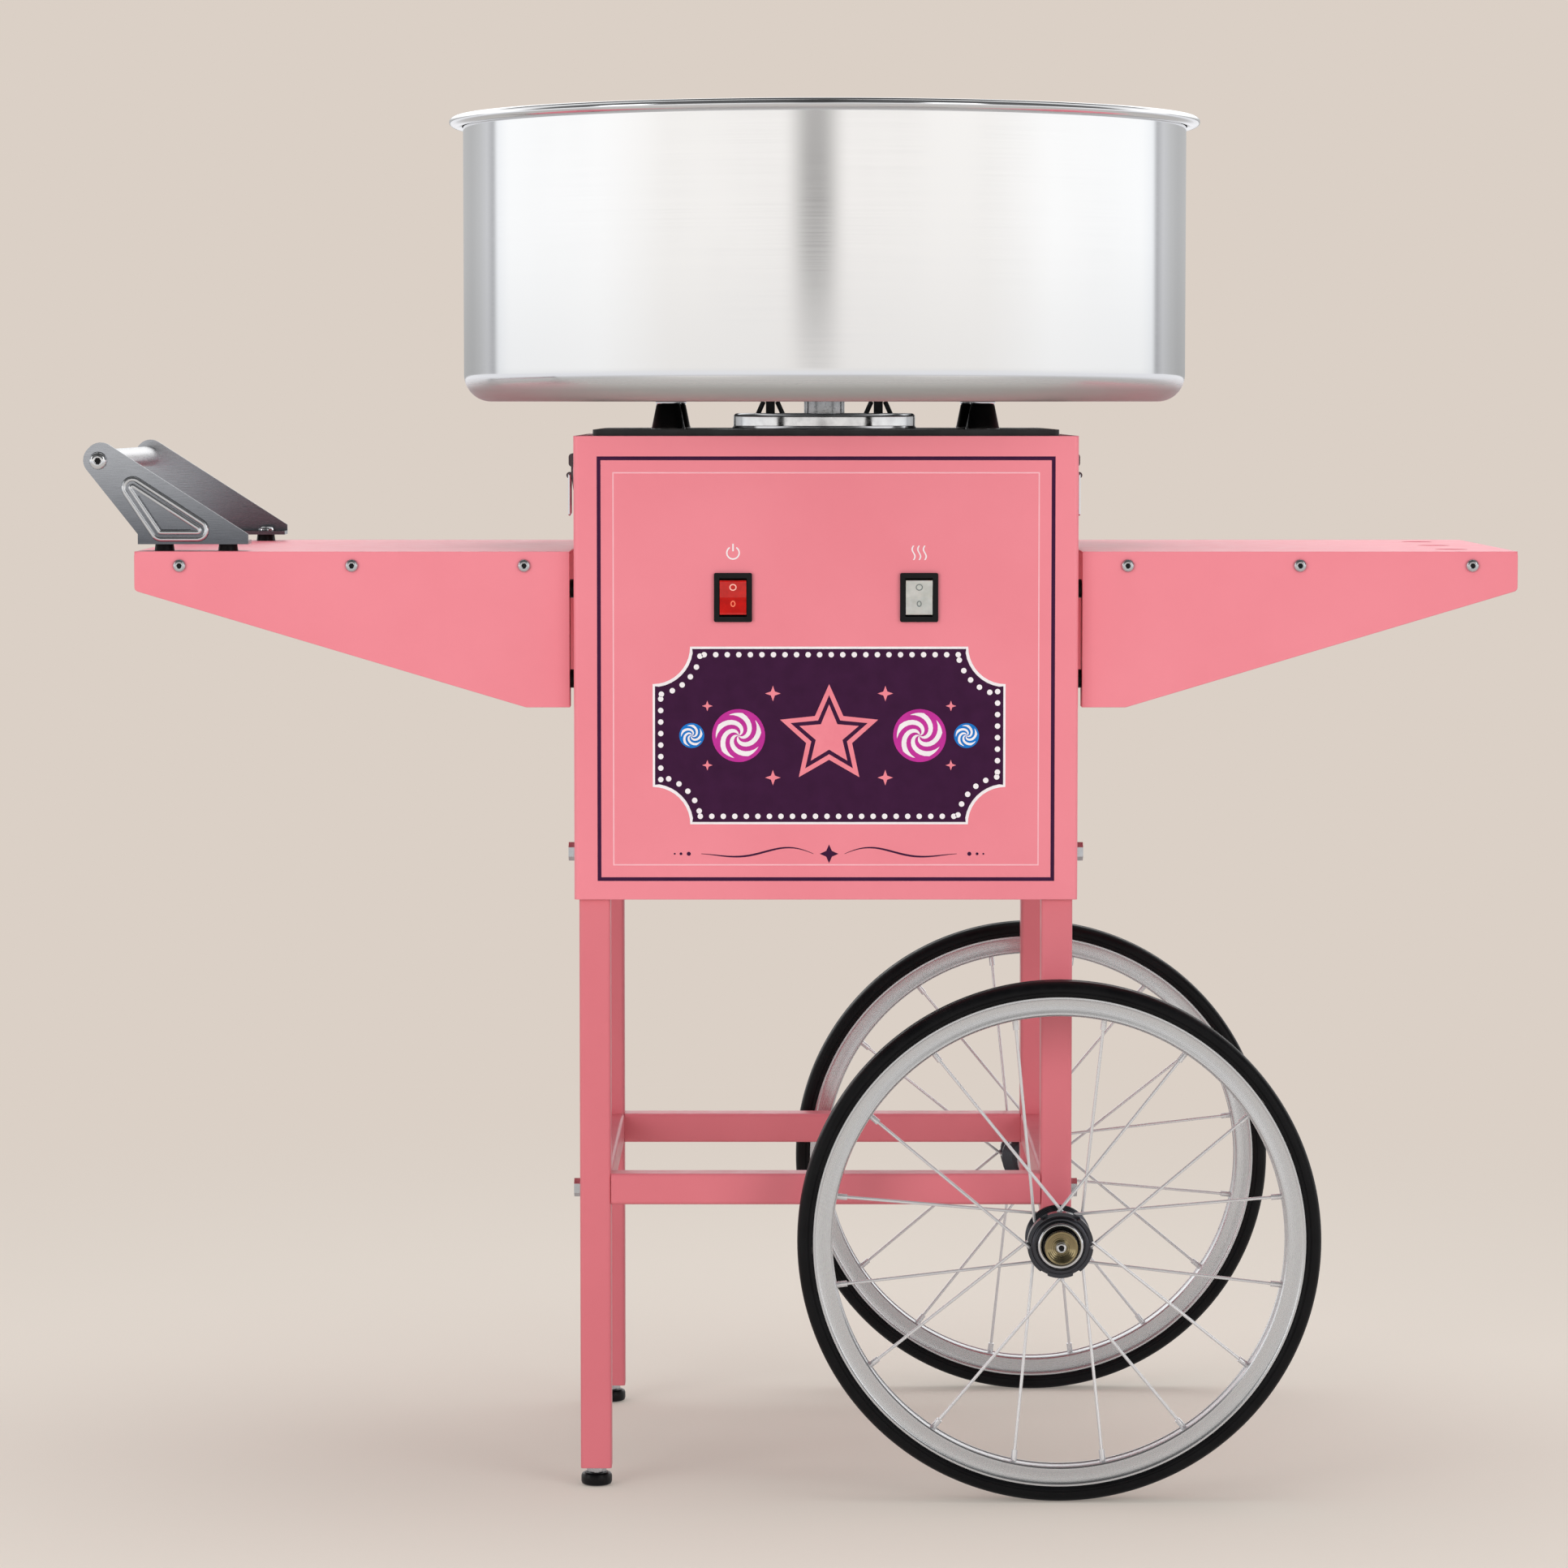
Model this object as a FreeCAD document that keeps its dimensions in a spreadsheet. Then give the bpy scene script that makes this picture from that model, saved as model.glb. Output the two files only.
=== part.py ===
import FreeCAD, Part
import math
import os
import re
import Sketcher

# Candy floss cart: a sheet metal cabinet with a spinning floss head and a lift-off bowl,
# two bolted side shelves, a push handle and a two wheeled tube frame. Millimetres, +Z up.
# The front is at -Y, the push handle at -X, the wheels at +X. Z = 0 is the ground.

Vector = FreeCAD.Vector
Rotation = FreeCAD.Rotation

SIZES = {
    # clearances and shared hardware
    "run_gap": 0.1, "seat_gap": 0.05, "fit_gap": 0.3, "bolt_radius": 3, "bolt_head": 6, "bolt_head_height": 4,
    "bolt_tail": 5, "screw_radius": 2, "screw_head": 4, "screw_dome": 2.4, "screw_tail": 3,
    # cabinet
    "cabinet_width": 323, "cabinet_depth": 320, "cabinet_height": 297, "cabinet_floor": 382,
    "sheet": 1.5, "bend_radius": 3, "cabinet_flange": 20, "plate": 4, "plate_inset": 12, "shaft_room": 2,
    "floor_plate": 2, "cover_overlap": 10, "louvre_width": 90, "louvre_height": 5, "louvre_pitch": 16,
    "louvre_depth": 6, "louvre_base": 150, "louvre_count": 6, "louvre_lap": 0.5, "louvre_side": 2,
    # power inlet
    "inlet_width": 27, "inlet_height": 20, "inlet_level": 60, "inlet_flange": 4, "inlet_depth": 22,
    "inlet_wall": 2, "inlet_corner": 3, "blade_pitch": 7, "blade_rise": 3, "blade_drop": 2, "blade_width": 4,
    "blade_sheet": 2, "blade_short": 3,
    # switches
    "switch_level": 194, "switch_spacing": 119, "bezel_width": 24.4, "bezel_height": 31.4, "bezel_lip": 2,
    "bezel_corner": 1.2, "bezel_wall": 3.4, "snap_step": 1, "switch_depth": 20, "switch_back": 2,
    "rocker_tilt": 11, "rocker_proud": 1.6, "rocker_edge": 1, "rocker_taper": 0.6, "rocker_pivot": 3.5,
    "rocker_pin": 1.2,
    # floss head and drive
    "dome_radius": 65, "dome_top_radius": 59, "dome_height": 8, "dome_wall": 1.2, "dome_corner": 2.5,
    "dome_clear": 1.5, "shaft_radius": 6, "shaft_edge": 0.8, "shaft_sink": 42, "collar_radius": 13.5,
    "collar_length": 54, "collar_foot": 1, "ring_height": 6, "ring_wall": 1.5, "ring_level": 24,
    "ring_pitch": 13, "head_radius": 64, "head_floor": 4, "head_edge": 2, "head_hub": 15.6,
    "head_hub_height": 20, "band_height": 38, "band_wall": 1.5, "slot_count": 36, "slot_width": 2.4,
    "slot_height": 26, "cover_height": 12, "cover_rim": 3, "cover_seat": 4,
    "mouth_radius": 24, "mouth_land": 4, "mouth_lip": 2.2, "heater_gap": 6, "heater_width": 22,
    "heater_strip": 1, "nut_radius": 13, "nut_height": 10,
    # motor, its bracket and the brushes
    "motor_radius": 44, "motor_height": 96, "motor_drop": 30, "motor_boss": 14, "motor_boss_radius": 16,
    "motor_edge": 6, "bore_room": 2, "bracket_width": 114, "bracket_length": 56, "bracket_sheet": 3,
    "bracket_toe": 12, "bracket_edge": 6, "bracket_pitch": 36, "brush_offset": 36, "brush_foot": 6,
    "brush_size": 5, "brush_round": 1.5, "wire_radius": 1.6, "wire_length": 11, "wire_spread": 9, "wire_lean": 24,
    # bowl
    "bowl_radius": 240, "rim_reach": 10, "rim_bead": 4, "bowl_height": 188, "bowl_wall": 1.2, "bowl_corner": 18,
    "bowl_hole": 75, "hole_corner": 1.5, "bowl_lip": 5, "post_height": 18, "post_base": 11, "post_top": 7.6,
    "post_cap": 1.6, "cap_step": 0.6, "post_span_x": 204, "post_span_y": 200,
    # cart frame
    "tube": 20, "tube_wall": 1.5, "tube_round": 2.25, "leg_inset": 1.5, "leg_lap": 60, "rail_level": 194,
    "foot_pad": 8, "foot_lift": 12, "foot_radius": 10, "foot_edge": 1.5, "foot_nut": 6.4, "stud_radius": 4,
    "stud_short": 2, "leg_plug": 22, "plug_corner": 1, "axle_radius": 6, "axle_skirt": 17, "insert_length": 18,
    "bolt_short": 3,
    # wheels
    "wheel_radius": 167, "tyre_width": 20, "tyre_flat": 13.4, "tyre_shoulder": 3, "tyre_edge": 1.2,
    "tyre_round": 4.5, "rim_outer": 157.4, "rim_inner": 144.4, "rim_width": 18, "rim_wall": 1.6,
    "rim_bevel": 4, "rim_rise": 1, "rim_floor": 4, "rim_slope": 2.5, "wheel_offset": 23, "hub_flange": 21,
    "hub_barrel": 12, "hub_width": 34, "hub_dish": 2, "hub_waist": 8, "flange_sheet": 2.5, "ring_outer": 14.4,
    "ring_rise": 3, "notch_radius": 2.8, "notch_out": 0.6, "notch_count": 6, "spoke_radius": 1,
    "spoke_pairs": 8, "spoke_sweep": 68, "spoke_inset": 3, "spoke_cross": 1.4, "spoke_sink": 2.5,
    "nipple_radius": 1.9, "nipple_length": 9, "cap_radius": 10.8, "cap_length": 7, "cap_brim": 4.5,
    "cap_shoulder": 5.5, "spacer_wall": 5, "axle_end": 8, "axle_nut": 9, "axle_nut_height": 7,
    # shelves
    "shelf_level": 605, "shelf_length": 279, "shelf_gap": 3, "shelf_inset": 10, "apron_height": 100,
    "apron_end": 25, "apron_foot": 28, "apron_corner": 3, "shelf_fold": 17, "fold_room": 2,
    "apron_flange": 20, "shelf_screw_x": 29, "shelf_screw_drop": 9, "mount_low": 18, "mount_high": 76,
    "cone_hole": 10.8, "cone_pitch": 96, "cone_inset": 36,
    # handle
    "handle_overhang": 24, "handle_rise": 58, "handle_end": 10, "handle_foot_near": 1, "handle_foot": 71,
    "handle_foot_height": 6.5, "handle_sheet": 2.5, "handle_flange": 22, "handle_edge": 12, "grip_radius": 7,
    "pad_height": 4.4, "pad_radius": 6.5, "pad_taper": 0.6, "bead_width": 4.4, "bead_rise": 1.2,
    "bead_round": 1, "bead_x": 43, "bead_drop": 40.4, "bead_inset": 8.5, "handle_bolt_x": 16,
    "handle_bolt_span": 41, "handle_bolt_head": 5.4, "handle_bolt_dome": 3.2, "grip_screw": 4,
    "grip_head": 5.6, "grip_dome": 3, "grip_screw_reach": 24,
    # latches
    "latch_level": 17, "latch_width": 16, "latch_plate": 1.2, "latch_corner": 1.5, "latch_ear": 9,
    "ear_round": 2.5, "latch_pin": 1.5, "rivet_proud": 0.8, "curl_wall": 1.4, "lever_length": 30,
    "lever_sheet": 1.2, "lever_curl": 2, "lever_round": 3, "lever_lift": 0.2, "bail_wire": 1,
    "bail_length": 26, "bail_pivot": 10, "knuckle_wall": 1.2,
}

# Places and sizes that follow from the ones above. Each is an expression on the same names.
FOLLOWS = {
    "shelf_reach": "cabinet_width / 2 + shelf_gap + shelf_length",
    "handle_pivot_x": "cabinet_width / 2 + shelf_gap + shelf_length + handle_overhang",
    "mid_x": "(handle_overhang + handle_end) / 2",
    "front_y": "0 - cabinet_depth / 2",
    "shelf_depth": "cabinet_depth - 2 * shelf_inset",
    "bowl_rim": "bowl_radius + rim_reach",
    "cabinet_top": "cabinet_floor + cabinet_height",
    "deck": "cabinet_floor + cabinet_height + plate",
    "dome_top": "cabinet_floor + cabinet_height + plate + dome_height",
    "bowl_floor": "cabinet_floor + cabinet_height + plate + post_height",
    "collar_base": "cabinet_floor + cabinet_height + plate + collar_foot",
    "head_base": "cabinet_floor + cabinet_height + plate + collar_foot + collar_length",
    "head_hub_top": "cabinet_floor + cabinet_height + plate + collar_foot + collar_length + head_hub_height",
    "motor_top": "cabinet_floor + cabinet_height - motor_drop",
    "leg_x": "cabinet_width / 2 - sheet - leg_inset - tube / 2",
    "leg_y": "cabinet_depth / 2 - sheet - leg_inset - tube / 2",
    "leg_top": "cabinet_floor + leg_lap",
    "wheel_y": "cabinet_depth / 2 - sheet - leg_inset + wheel_offset + hub_width / 2",
    "apron_y": "cabinet_depth / 2 - shelf_inset",
    "handle_base": "shelf_level + pad_height",
    "handle_y": "cabinet_depth / 2 - shelf_inset - handle_edge",
    "bracket_bolt_x": "bracket_width / 2 - bracket_edge",
    "snap_width": "bezel_width - 2 * snap_step",
    "snap_height": "bezel_height - 2 * snap_step",
    "plug_width": "tube - 2 * tube_wall - 2 * seat_gap",
    "curl": "latch_pin + curl_wall",
    "latch_z": "cabinet_floor + cabinet_height - latch_level",
    "switch_z": "cabinet_floor + switch_level",
}

doc = FreeCAD.newDocument("FlossCart")
sheet = doc.addObject("Spreadsheet::Sheet", "Sizes")
for row, (word, number) in enumerate(SIZES.items(), start=1):
    sheet.set(f"A{row}", word)
    sheet.set(f"B{row}", str(number))
    sheet.setAlias(f"B{row}", word)
doc.recompute()

NODES = []
GROUPS = {}
WORD = re.compile(r"[a-z][a-z_]*")


def bound(text):
    """Expression text with every named size pointing at its cell."""
    def cell(match):
        word = match.group(0)
        if word in FOLLOWS:
            return "(" + bound(FOLLOWS[word]) + ")"
        return "Sizes." + word if word in SIZES else word
    return WORD.sub(cell, str(text))


def number(text):
    """Present value of such an expression."""
    return float(sheet.evalExpression(bound(text) + " + 0"))


def bind(item, prop, text):
    item.setExpression(prop, bound(text))


def place(item, x="0", y="0", z="0", axis=(0, 0, 1), angle=0):
    """Turn an object about an axis through its own origin and put that origin at x, y, z."""
    item.Placement = FreeCAD.Placement(Vector(0, 0, 0), Rotation(Vector(*axis), angle))
    for prop, text in (("x", x), ("y", y), ("z", z)):
        bind(item, "Placement.Base." + prop, text)
    return item


def node(item, label):
    """Name an object as a finished piece of the cart."""
    item.Label = label
    NODES.append(item)
    return item


def body(name):
    return doc.addObject("PartDesign::Body", name)


def origin_part(owner, role):
    return next(part for part in owner.Origin.OriginFeatures if part.Role == role)


def sketch_on(owner, role, offset="0"):
    """Empty sketch on one of the body's own origin planes, moved along that plane's normal."""
    sketch = owner.newObject("Sketcher::SketchObject", owner.Name + "_sketch")
    sketch.AttachmentSupport = [(origin_part(owner, role), "")]
    sketch.MapMode = "FlatFace"
    bind(sketch, "AttachmentOffset.Base.z", offset)
    return sketch


def pin_point(sketch, geometry, position, x, y):
    for kind, text in (("DistanceX", x), ("DistanceY", y)):
        index = sketch.addConstraint(Sketcher.Constraint(kind, -1, 1, geometry, position, number(text)))
        sketch.setExpression(f"Constraints[{index}]", bound(text))


def unit(start, end):
    length = math.dist(start, end)
    return ((end[0] - start[0]) / length, (end[1] - start[1]) / length)


def outline(sketch, corners):
    """Closed outline through corners (x, y) or (x, y, radius); a radius gives a tangent arc."""
    spots = [(number(corner[0]), number(corner[1])) for corner in corners]
    count = len(corners)
    starts, ends, arcs, first, lines = {}, {}, {}, {}, []
    for i, corner in enumerate(corners):
        starts[i] = ends[i] = spots[i]
        if len(corner) == 3:
            radius = number(corner[2])
            back = unit(spots[i], spots[i - 1])
            ahead = unit(spots[i], spots[(i + 1) % count])
            half = math.acos(back[0] * ahead[0] + back[1] * ahead[1]) / 2
            reach = radius / math.tan(half)
            middle = unit((0, 0), (back[0] + ahead[0], back[1] + ahead[1]))
            inner = radius / math.sin(half)
            starts[i] = (spots[i][0] + back[0] * reach, spots[i][1] + back[1] * reach)
            ends[i] = (spots[i][0] + ahead[0] * reach, spots[i][1] + ahead[1] * reach)
            centre = (spots[i][0] + middle[0] * inner, spots[i][1] + middle[1] * inner)
            turn = [math.atan2(spot[1] - centre[1], spot[0] - centre[0]) for spot in (starts[i], ends[i])]
            first[i] = 1 if (turn[1] - turn[0]) % math.tau < math.pi else 2
            rim = Part.Circle(Vector(*centre, 0), Vector(0, 0, 1), radius)
            arcs[i] = sketch.addGeometry(Part.ArcOfCircle(rim, *(turn if first[i] == 1 else turn[::-1])), False)
    for i in range(count):
        line = Part.LineSegment(Vector(*ends[i], 0), Vector(*starts[(i + 1) % count], 0))
        lines.append(sketch.addGeometry(line, False))
    for i, corner in enumerate(corners):
        if i not in arcs:
            sketch.addConstraint(Sketcher.Constraint("Coincident", lines[i - 1], 2, lines[i], 1))
            pin_point(sketch, lines[i], 1, corner[0], corner[1])
            continue
        mark = sketch.addGeometry(Part.Point(Vector(*spots[i], 0)), True)
        sketch.addConstraint(Sketcher.Constraint("Tangent", lines[i - 1], 2, arcs[i], first[i]))
        sketch.addConstraint(Sketcher.Constraint("Tangent", arcs[i], 3 - first[i], lines[i], 1))
        sketch.addConstraint(Sketcher.Constraint("PointOnObject", mark, 1, lines[i - 1]))
        sketch.addConstraint(Sketcher.Constraint("PointOnObject", mark, 1, lines[i]))
        index = sketch.addConstraint(Sketcher.Constraint("Radius", arcs[i], number(corner[2])))
        sketch.setExpression(f"Constraints[{index}]", bound(corner[2]))
        pin_point(sketch, mark, 1, corner[0], corner[1])
    return sketch


def rectangle(sketch, x, y, width, height, radius=None):
    """Rectangle centred on x, y, with rounded corners where a radius is given."""
    spots = [(-1, -1), (1, -1), (1, 1), (-1, 1)]
    corners = [(f"{x} + {a} * ({width}) / 2", f"{y} + {b} * ({height}) / 2") for a, b in spots]
    return outline(sketch, [corner + (radius,) if radius else corner for corner in corners])


def circle(sketch, x, y, radius):
    mark = sketch.addGeometry(Part.Circle(Vector(number(x), number(y), 0), Vector(0, 0, 1), number(radius)), False)
    index = sketch.addConstraint(Sketcher.Constraint("Radius", mark, number(radius)))
    sketch.setExpression(f"Constraints[{index}]", bound(radius))
    pin_point(sketch, mark, 3, x, y)
    return sketch


def grow(owner, kind, sketch, length=None, **settings):
    """Pad, Pocket, Revolution or Groove on a sketch of the same body."""
    feature = owner.newObject("PartDesign::" + kind, owner.Name + "_" + kind.lower())
    feature.Profile = sketch
    if kind in ("Revolution", "Groove"):
        feature.ReferenceAxis = (sketch, ["V_Axis"])
        feature.Angle = 360
    if length:
        bind(feature, "Length", length)
    for prop, value in settings.items():
        setattr(feature, prop, value)
    return feature


def cut_through(owner, sketch):
    """Pocket right through the body both ways from the sketch."""
    return grow(owner, "Pocket", sketch, Type="ThroughAll", Midplane=True)


def cylinder(name, radius, height):
    item = doc.addObject("Part::Cylinder", name)
    bind(item, "Radius", radius)
    bind(item, "Height", height)
    return item


def join(name, shapes):
    item = doc.addObject("Part::MultiFuse", name)
    item.Shapes = shapes
    return item


def gather(label, item):
    """Keep a solid for a node that holds several alike."""
    GROUPS.setdefault(label, []).append(item)


def write_groups():
    for label, items in GROUPS.items():
        whole = doc.addObject("Part::Compound", label)
        whole.Links = items
        node(whole, label)


def turned(name, corners):
    """Body of revolution about its own Z axis from a half profile (radius, height)."""
    owner = body(name)
    grow(owner, "Revolution", outline(sketch_on(owner, "XZ_Plane"), corners))
    return owner


SIDES = (("left", -1), ("right", 1))
ENDS = (("front", -1), ("rear", 1))


def cabinet_shell():
    """Folded wrap with inward flanges, open at the back, notched for the four legs."""
    owner = body("cabinet_shell_body")
    wall = sketch_on(owner, "XY_Plane")
    rectangle(wall, "0", "0", "cabinet_width", "cabinet_depth", "bend_radius")
    rectangle(wall, "0", "0", "cabinet_width - 2 * sheet", "cabinet_depth - 2 * sheet", "bend_radius - sheet")
    grow(owner, "Pad", wall, "cabinet_height")
    for offset in ("0", "cabinet_height - sheet"):
        flange = sketch_on(owner, "XY_Plane", offset)
        rectangle(flange, "0", "0", "cabinet_width - sheet", "cabinet_depth - sheet")
        rectangle(flange, "0", "0", "cabinet_width - 2 * cabinet_flange", "cabinet_depth - 2 * cabinet_flange")
        grow(owner, "Pad", flange, "sheet")
    back = sketch_on(owner, "XZ_Plane", "0 - cabinet_depth / 2 + 2 * sheet")
    rectangle(back, "0", "cabinet_height / 2", "cabinet_width - 2 * cabinet_flange - 2 * cover_overlap",
              "cabinet_height - 2 * cabinet_flange - 2 * cover_overlap")
    grow(owner, "Pocket", back, "4 * sheet", Reversed=False)
    switches = sketch_on(owner, "XZ_Plane", "cabinet_depth / 2 - 2 * sheet")
    for side in (-1, 1):
        rectangle(switches, f"{side} * switch_spacing / 2", "switch_level",
                  "snap_width - 2 * seat_gap", "snap_height - 2 * seat_gap")
    grow(owner, "Pocket", switches, "4 * sheet", Reversed=True)
    bolts = sketch_on(owner, "YZ_Plane")
    for end in (-1, 1):
        circle(bolts, f"{end} * leg_y", "leg_lap / 2", "bolt_radius + run_gap")
        for level in ("mount_low", "mount_high"):
            circle(bolts, f"{end} * (apron_y - sheet - apron_flange / 2)",
                   f"shelf_level - apron_height - cabinet_floor + {level}", "bolt_radius + run_gap")
    cut_through(owner, bolts)
    corners = sketch_on(owner, "XY_Plane")
    for side in (-1, 1):
        for end in (-1, 1):
            rectangle(corners, f"{side} * leg_x", f"{end} * leg_y", "tube + 2 * fit_gap", "tube + 2 * fit_gap")
    grow(owner, "Pocket", corners, "3 * sheet", Reversed=True)
    place(node(owner, "cabinet_shell"), "mid_x", "0", "cabinet_floor")


def floor_plate():
    """Tray floor resting on the bottom flange, notched round the legs."""
    owner = body("floor_plate_body")
    floor = sketch_on(owner, "XY_Plane")
    rectangle(floor, "0", "0", "cabinet_width - 2 * sheet - 2 * fit_gap", "cabinet_depth - 2 * sheet - 2 * fit_gap")
    grow(owner, "Pad", floor, "floor_plate")
    corners = sketch_on(owner, "XY_Plane")
    for side in (-1, 1):
        for end in (-1, 1):
            rectangle(corners, f"{side} * (leg_x + tube / 2)", f"{end} * (leg_y + tube / 2)",
                      "2 * tube + 2 * fit_gap", "2 * tube + 2 * fit_gap")
    cut_through(owner, corners)
    place(node(owner, "floor_plate"), "mid_x", "0", "cabinet_floor + sheet")


def rear_cover():
    """Screwed-on back with a column of hooded louvres and a cut-out for the power inlet."""
    owner = body("rear_cover_body")
    width = "cabinet_width - 2 * cabinet_flange"
    panel = sketch_on(owner, "XZ_Plane")
    rectangle(panel, "0", "cabinet_height / 2", width, "cabinet_height - 2 * cabinet_flange", "bend_radius")
    grow(owner, "Pad", panel, "sheet", Reversed=True)
    inlet = sketch_on(owner, "XZ_Plane")
    rectangle(inlet, "0", "inlet_level", "inlet_width + 2 * fit_gap", "inlet_height + 2 * fit_gap")
    for side in (-1, 1):
        for level in ("cabinet_flange + cover_overlap / 2", "cabinet_height - cabinet_flange - cover_overlap / 2"):
            circle(inlet, f"{side} * (cabinet_width / 2 - cabinet_flange - cover_overlap / 2)", level,
                   "screw_radius + run_gap")
    cut_through(owner, inlet)
    slot = sketch_on(owner, "XZ_Plane")
    rectangle(slot, "0", "louvre_base", "louvre_width", "louvre_height")
    opening = cut_through(owner, slot)
    side_view = sketch_on(owner, "YZ_Plane")
    outline(side_view, [
        ("sheet - louvre_lap", "louvre_base + louvre_height / 2 + sheet"),
        ("sheet + louvre_depth", "louvre_base - louvre_height / 2"),
        ("louvre_depth", "louvre_base - louvre_height / 2"),
        ("sheet - louvre_lap", "louvre_base + louvre_height / 2 - louvre_lap"),
    ])
    hood = grow(owner, "Pad", side_view, "louvre_width + 2 * louvre_side", Midplane=True)
    row_of = owner.newObject("PartDesign::LinearPattern", "louvre_row")
    row_of.Originals = [opening, hood]
    row_of.Direction = (slot, ["V_Axis"])
    bind(row_of, "Length", "(louvre_count - 1) * louvre_pitch")
    bind(row_of, "Occurrences", "louvre_count")
    owner.Tip = row_of
    place(node(owner, "rear_cover"), "mid_x", "cabinet_depth / 2", "cabinet_floor")
    inset = "cabinet_flange - cover_overlap / 2"
    for side in (-1, 1):
        for end in (-1, 1):
            screw = button_screw(f"cover_screw_{side}_{end}", "screw_radius", "screw_head", "screw_dome", "2 * sheet")
            place(screw, f"mid_x + {side} * (cabinet_width / 2 - {inset})", "cabinet_depth / 2 + sheet",
                  f"cabinet_floor + cabinet_height / 2 + {end} * (cabinet_height / 2 - {inset})", (1, 0, 0), -90)
            gather("panel_screws", screw)


def button_screw(name, radius, head, dome, reach):
    """Screw on its own Z axis: the shank runs down from Z = 0, a low domed head sits above."""
    return turned(name, [
        ("0", f"0 - ({reach})"), (radius, f"0 - ({reach})"), (radius, "0"), (head, "0"),
        (head, f"({dome}) * 0.4"), (f"({head}) * 0.6", dome), ("0", dome)])


def power_inlet():
    """Three pin appliance inlet: flanged shell with a deep recess and its contact blades."""
    owner = body("power_inlet_body")
    lip = sketch_on(owner, "XZ_Plane")
    rectangle(lip, "0", "0", "inlet_width + 2 * inlet_flange", "inlet_height + 2 * inlet_flange", "inlet_corner")
    grow(owner, "Pad", lip, "inlet_wall", Reversed=True)
    shell = sketch_on(owner, "XZ_Plane", "0")
    rectangle(shell, "0", "0", "inlet_width", "inlet_height")
    grow(owner, "Pad", shell, "inlet_depth")
    recess = sketch_on(owner, "XZ_Plane", "inlet_depth - 2 * inlet_wall")
    rectangle(recess, "0", "0", "inlet_width - 2 * inlet_wall", "inlet_height - 2 * inlet_wall", "inlet_corner")
    grow(owner, "Pocket", recess, "2 * inlet_depth", Reversed=False)
    blades = sketch_on(owner, "XZ_Plane", "inlet_depth - inlet_wall")
    for x, y in (("0 - blade_pitch", "0 - blade_drop"), ("0", "blade_rise"), ("blade_pitch", "0 - blade_drop")):
        rectangle(blades, x, y, "blade_sheet", "blade_width")
    grow(owner, "Pad", blades, "inlet_depth - inlet_wall - blade_short", Reversed=True)
    place(node(owner, "power_inlet"), "mid_x", "cabinet_depth / 2 + sheet", "cabinet_floor + inlet_level")


def rocker_switch(label, side):
    """Snap-in rocker: a fixed frame and a see-saw cap on a cross pin."""
    frame = body(label + "_frame_body")
    lip = sketch_on(frame, "XZ_Plane")
    rectangle(lip, "0", "0", "bezel_width", "bezel_height", "bezel_corner")
    rectangle(lip, "0", "0", "bezel_width - 2 * bezel_wall", "bezel_height - 2 * bezel_wall")
    grow(frame, "Pad", lip, "bezel_lip")
    sleeve = sketch_on(frame, "XZ_Plane")
    rectangle(sleeve, "0", "0", "snap_width - 4 * seat_gap", "snap_height - 4 * seat_gap")
    rectangle(sleeve, "0", "0", "bezel_width - 2 * bezel_wall", "bezel_height - 2 * bezel_wall")
    grow(frame, "Pad", sleeve, "switch_depth", Reversed=True)
    back = sketch_on(frame, "XZ_Plane", "0 - switch_depth")
    rectangle(back, "0", "0", "snap_width - 4 * seat_gap", "snap_height - 4 * seat_gap")
    grow(frame, "Pad", back, "switch_back", Reversed=True)
    pin = sketch_on(frame, "YZ_Plane")
    circle(pin, "rocker_pivot", "0", "rocker_pin")
    grow(frame, "Pad", pin, "bezel_width - bezel_wall", Midplane=True)
    gather("switch_frames", place(frame, f"mid_x + {side} * switch_spacing / 2", "front_y", "switch_z"))
    cap = body(label + "_cap_body")
    half = "(bezel_height / 2 - bezel_wall - 2 * fit_gap)"
    side_view = sketch_on(cap, "YZ_Plane")
    outline(side_view, [
        (f"0 - bezel_lip - rocker_proud - {half} * sin(rocker_tilt)", half, "rocker_edge"),
        ("0 - bezel_lip", "0"),
        ("0 - bezel_lip - rocker_proud", f"0 - {half}", "rocker_edge"),
        ("2 * rocker_pivot", f"0 - {half} * rocker_taper"), ("2 * rocker_pivot", f"{half} * rocker_taper")])
    circle(side_view, "rocker_pivot", "0", "rocker_pin + run_gap")
    grow(cap, "Pad", side_view, "bezel_width - 2 * bezel_wall - 2 * fit_gap", Midplane=True)
    place(node(cap, label + "_rocker"), f"mid_x + {side} * switch_spacing / 2", "front_y", "switch_z")


def top_plate():
    """Dark deck plate on the cabinet's top flange, with the shaft hole in its middle."""
    owner = body("top_plate_body")
    deck = sketch_on(owner, "XY_Plane")
    rectangle(deck, "0", "0", "cabinet_width - 2 * plate_inset", "cabinet_depth - 2 * plate_inset", "bend_radius")
    circle(deck, "0", "0", "shaft_radius + shaft_room")
    for side in (-1, 1):
        for end in (-1, 1):
            circle(deck, f"{side} * bracket_bolt_x", f"{end} * bracket_pitch / 2", "bolt_radius + run_gap")
    grow(owner, "Pad", deck, "plate")
    place(node(owner, "top_plate"), "mid_x", "0", "cabinet_top")


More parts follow.
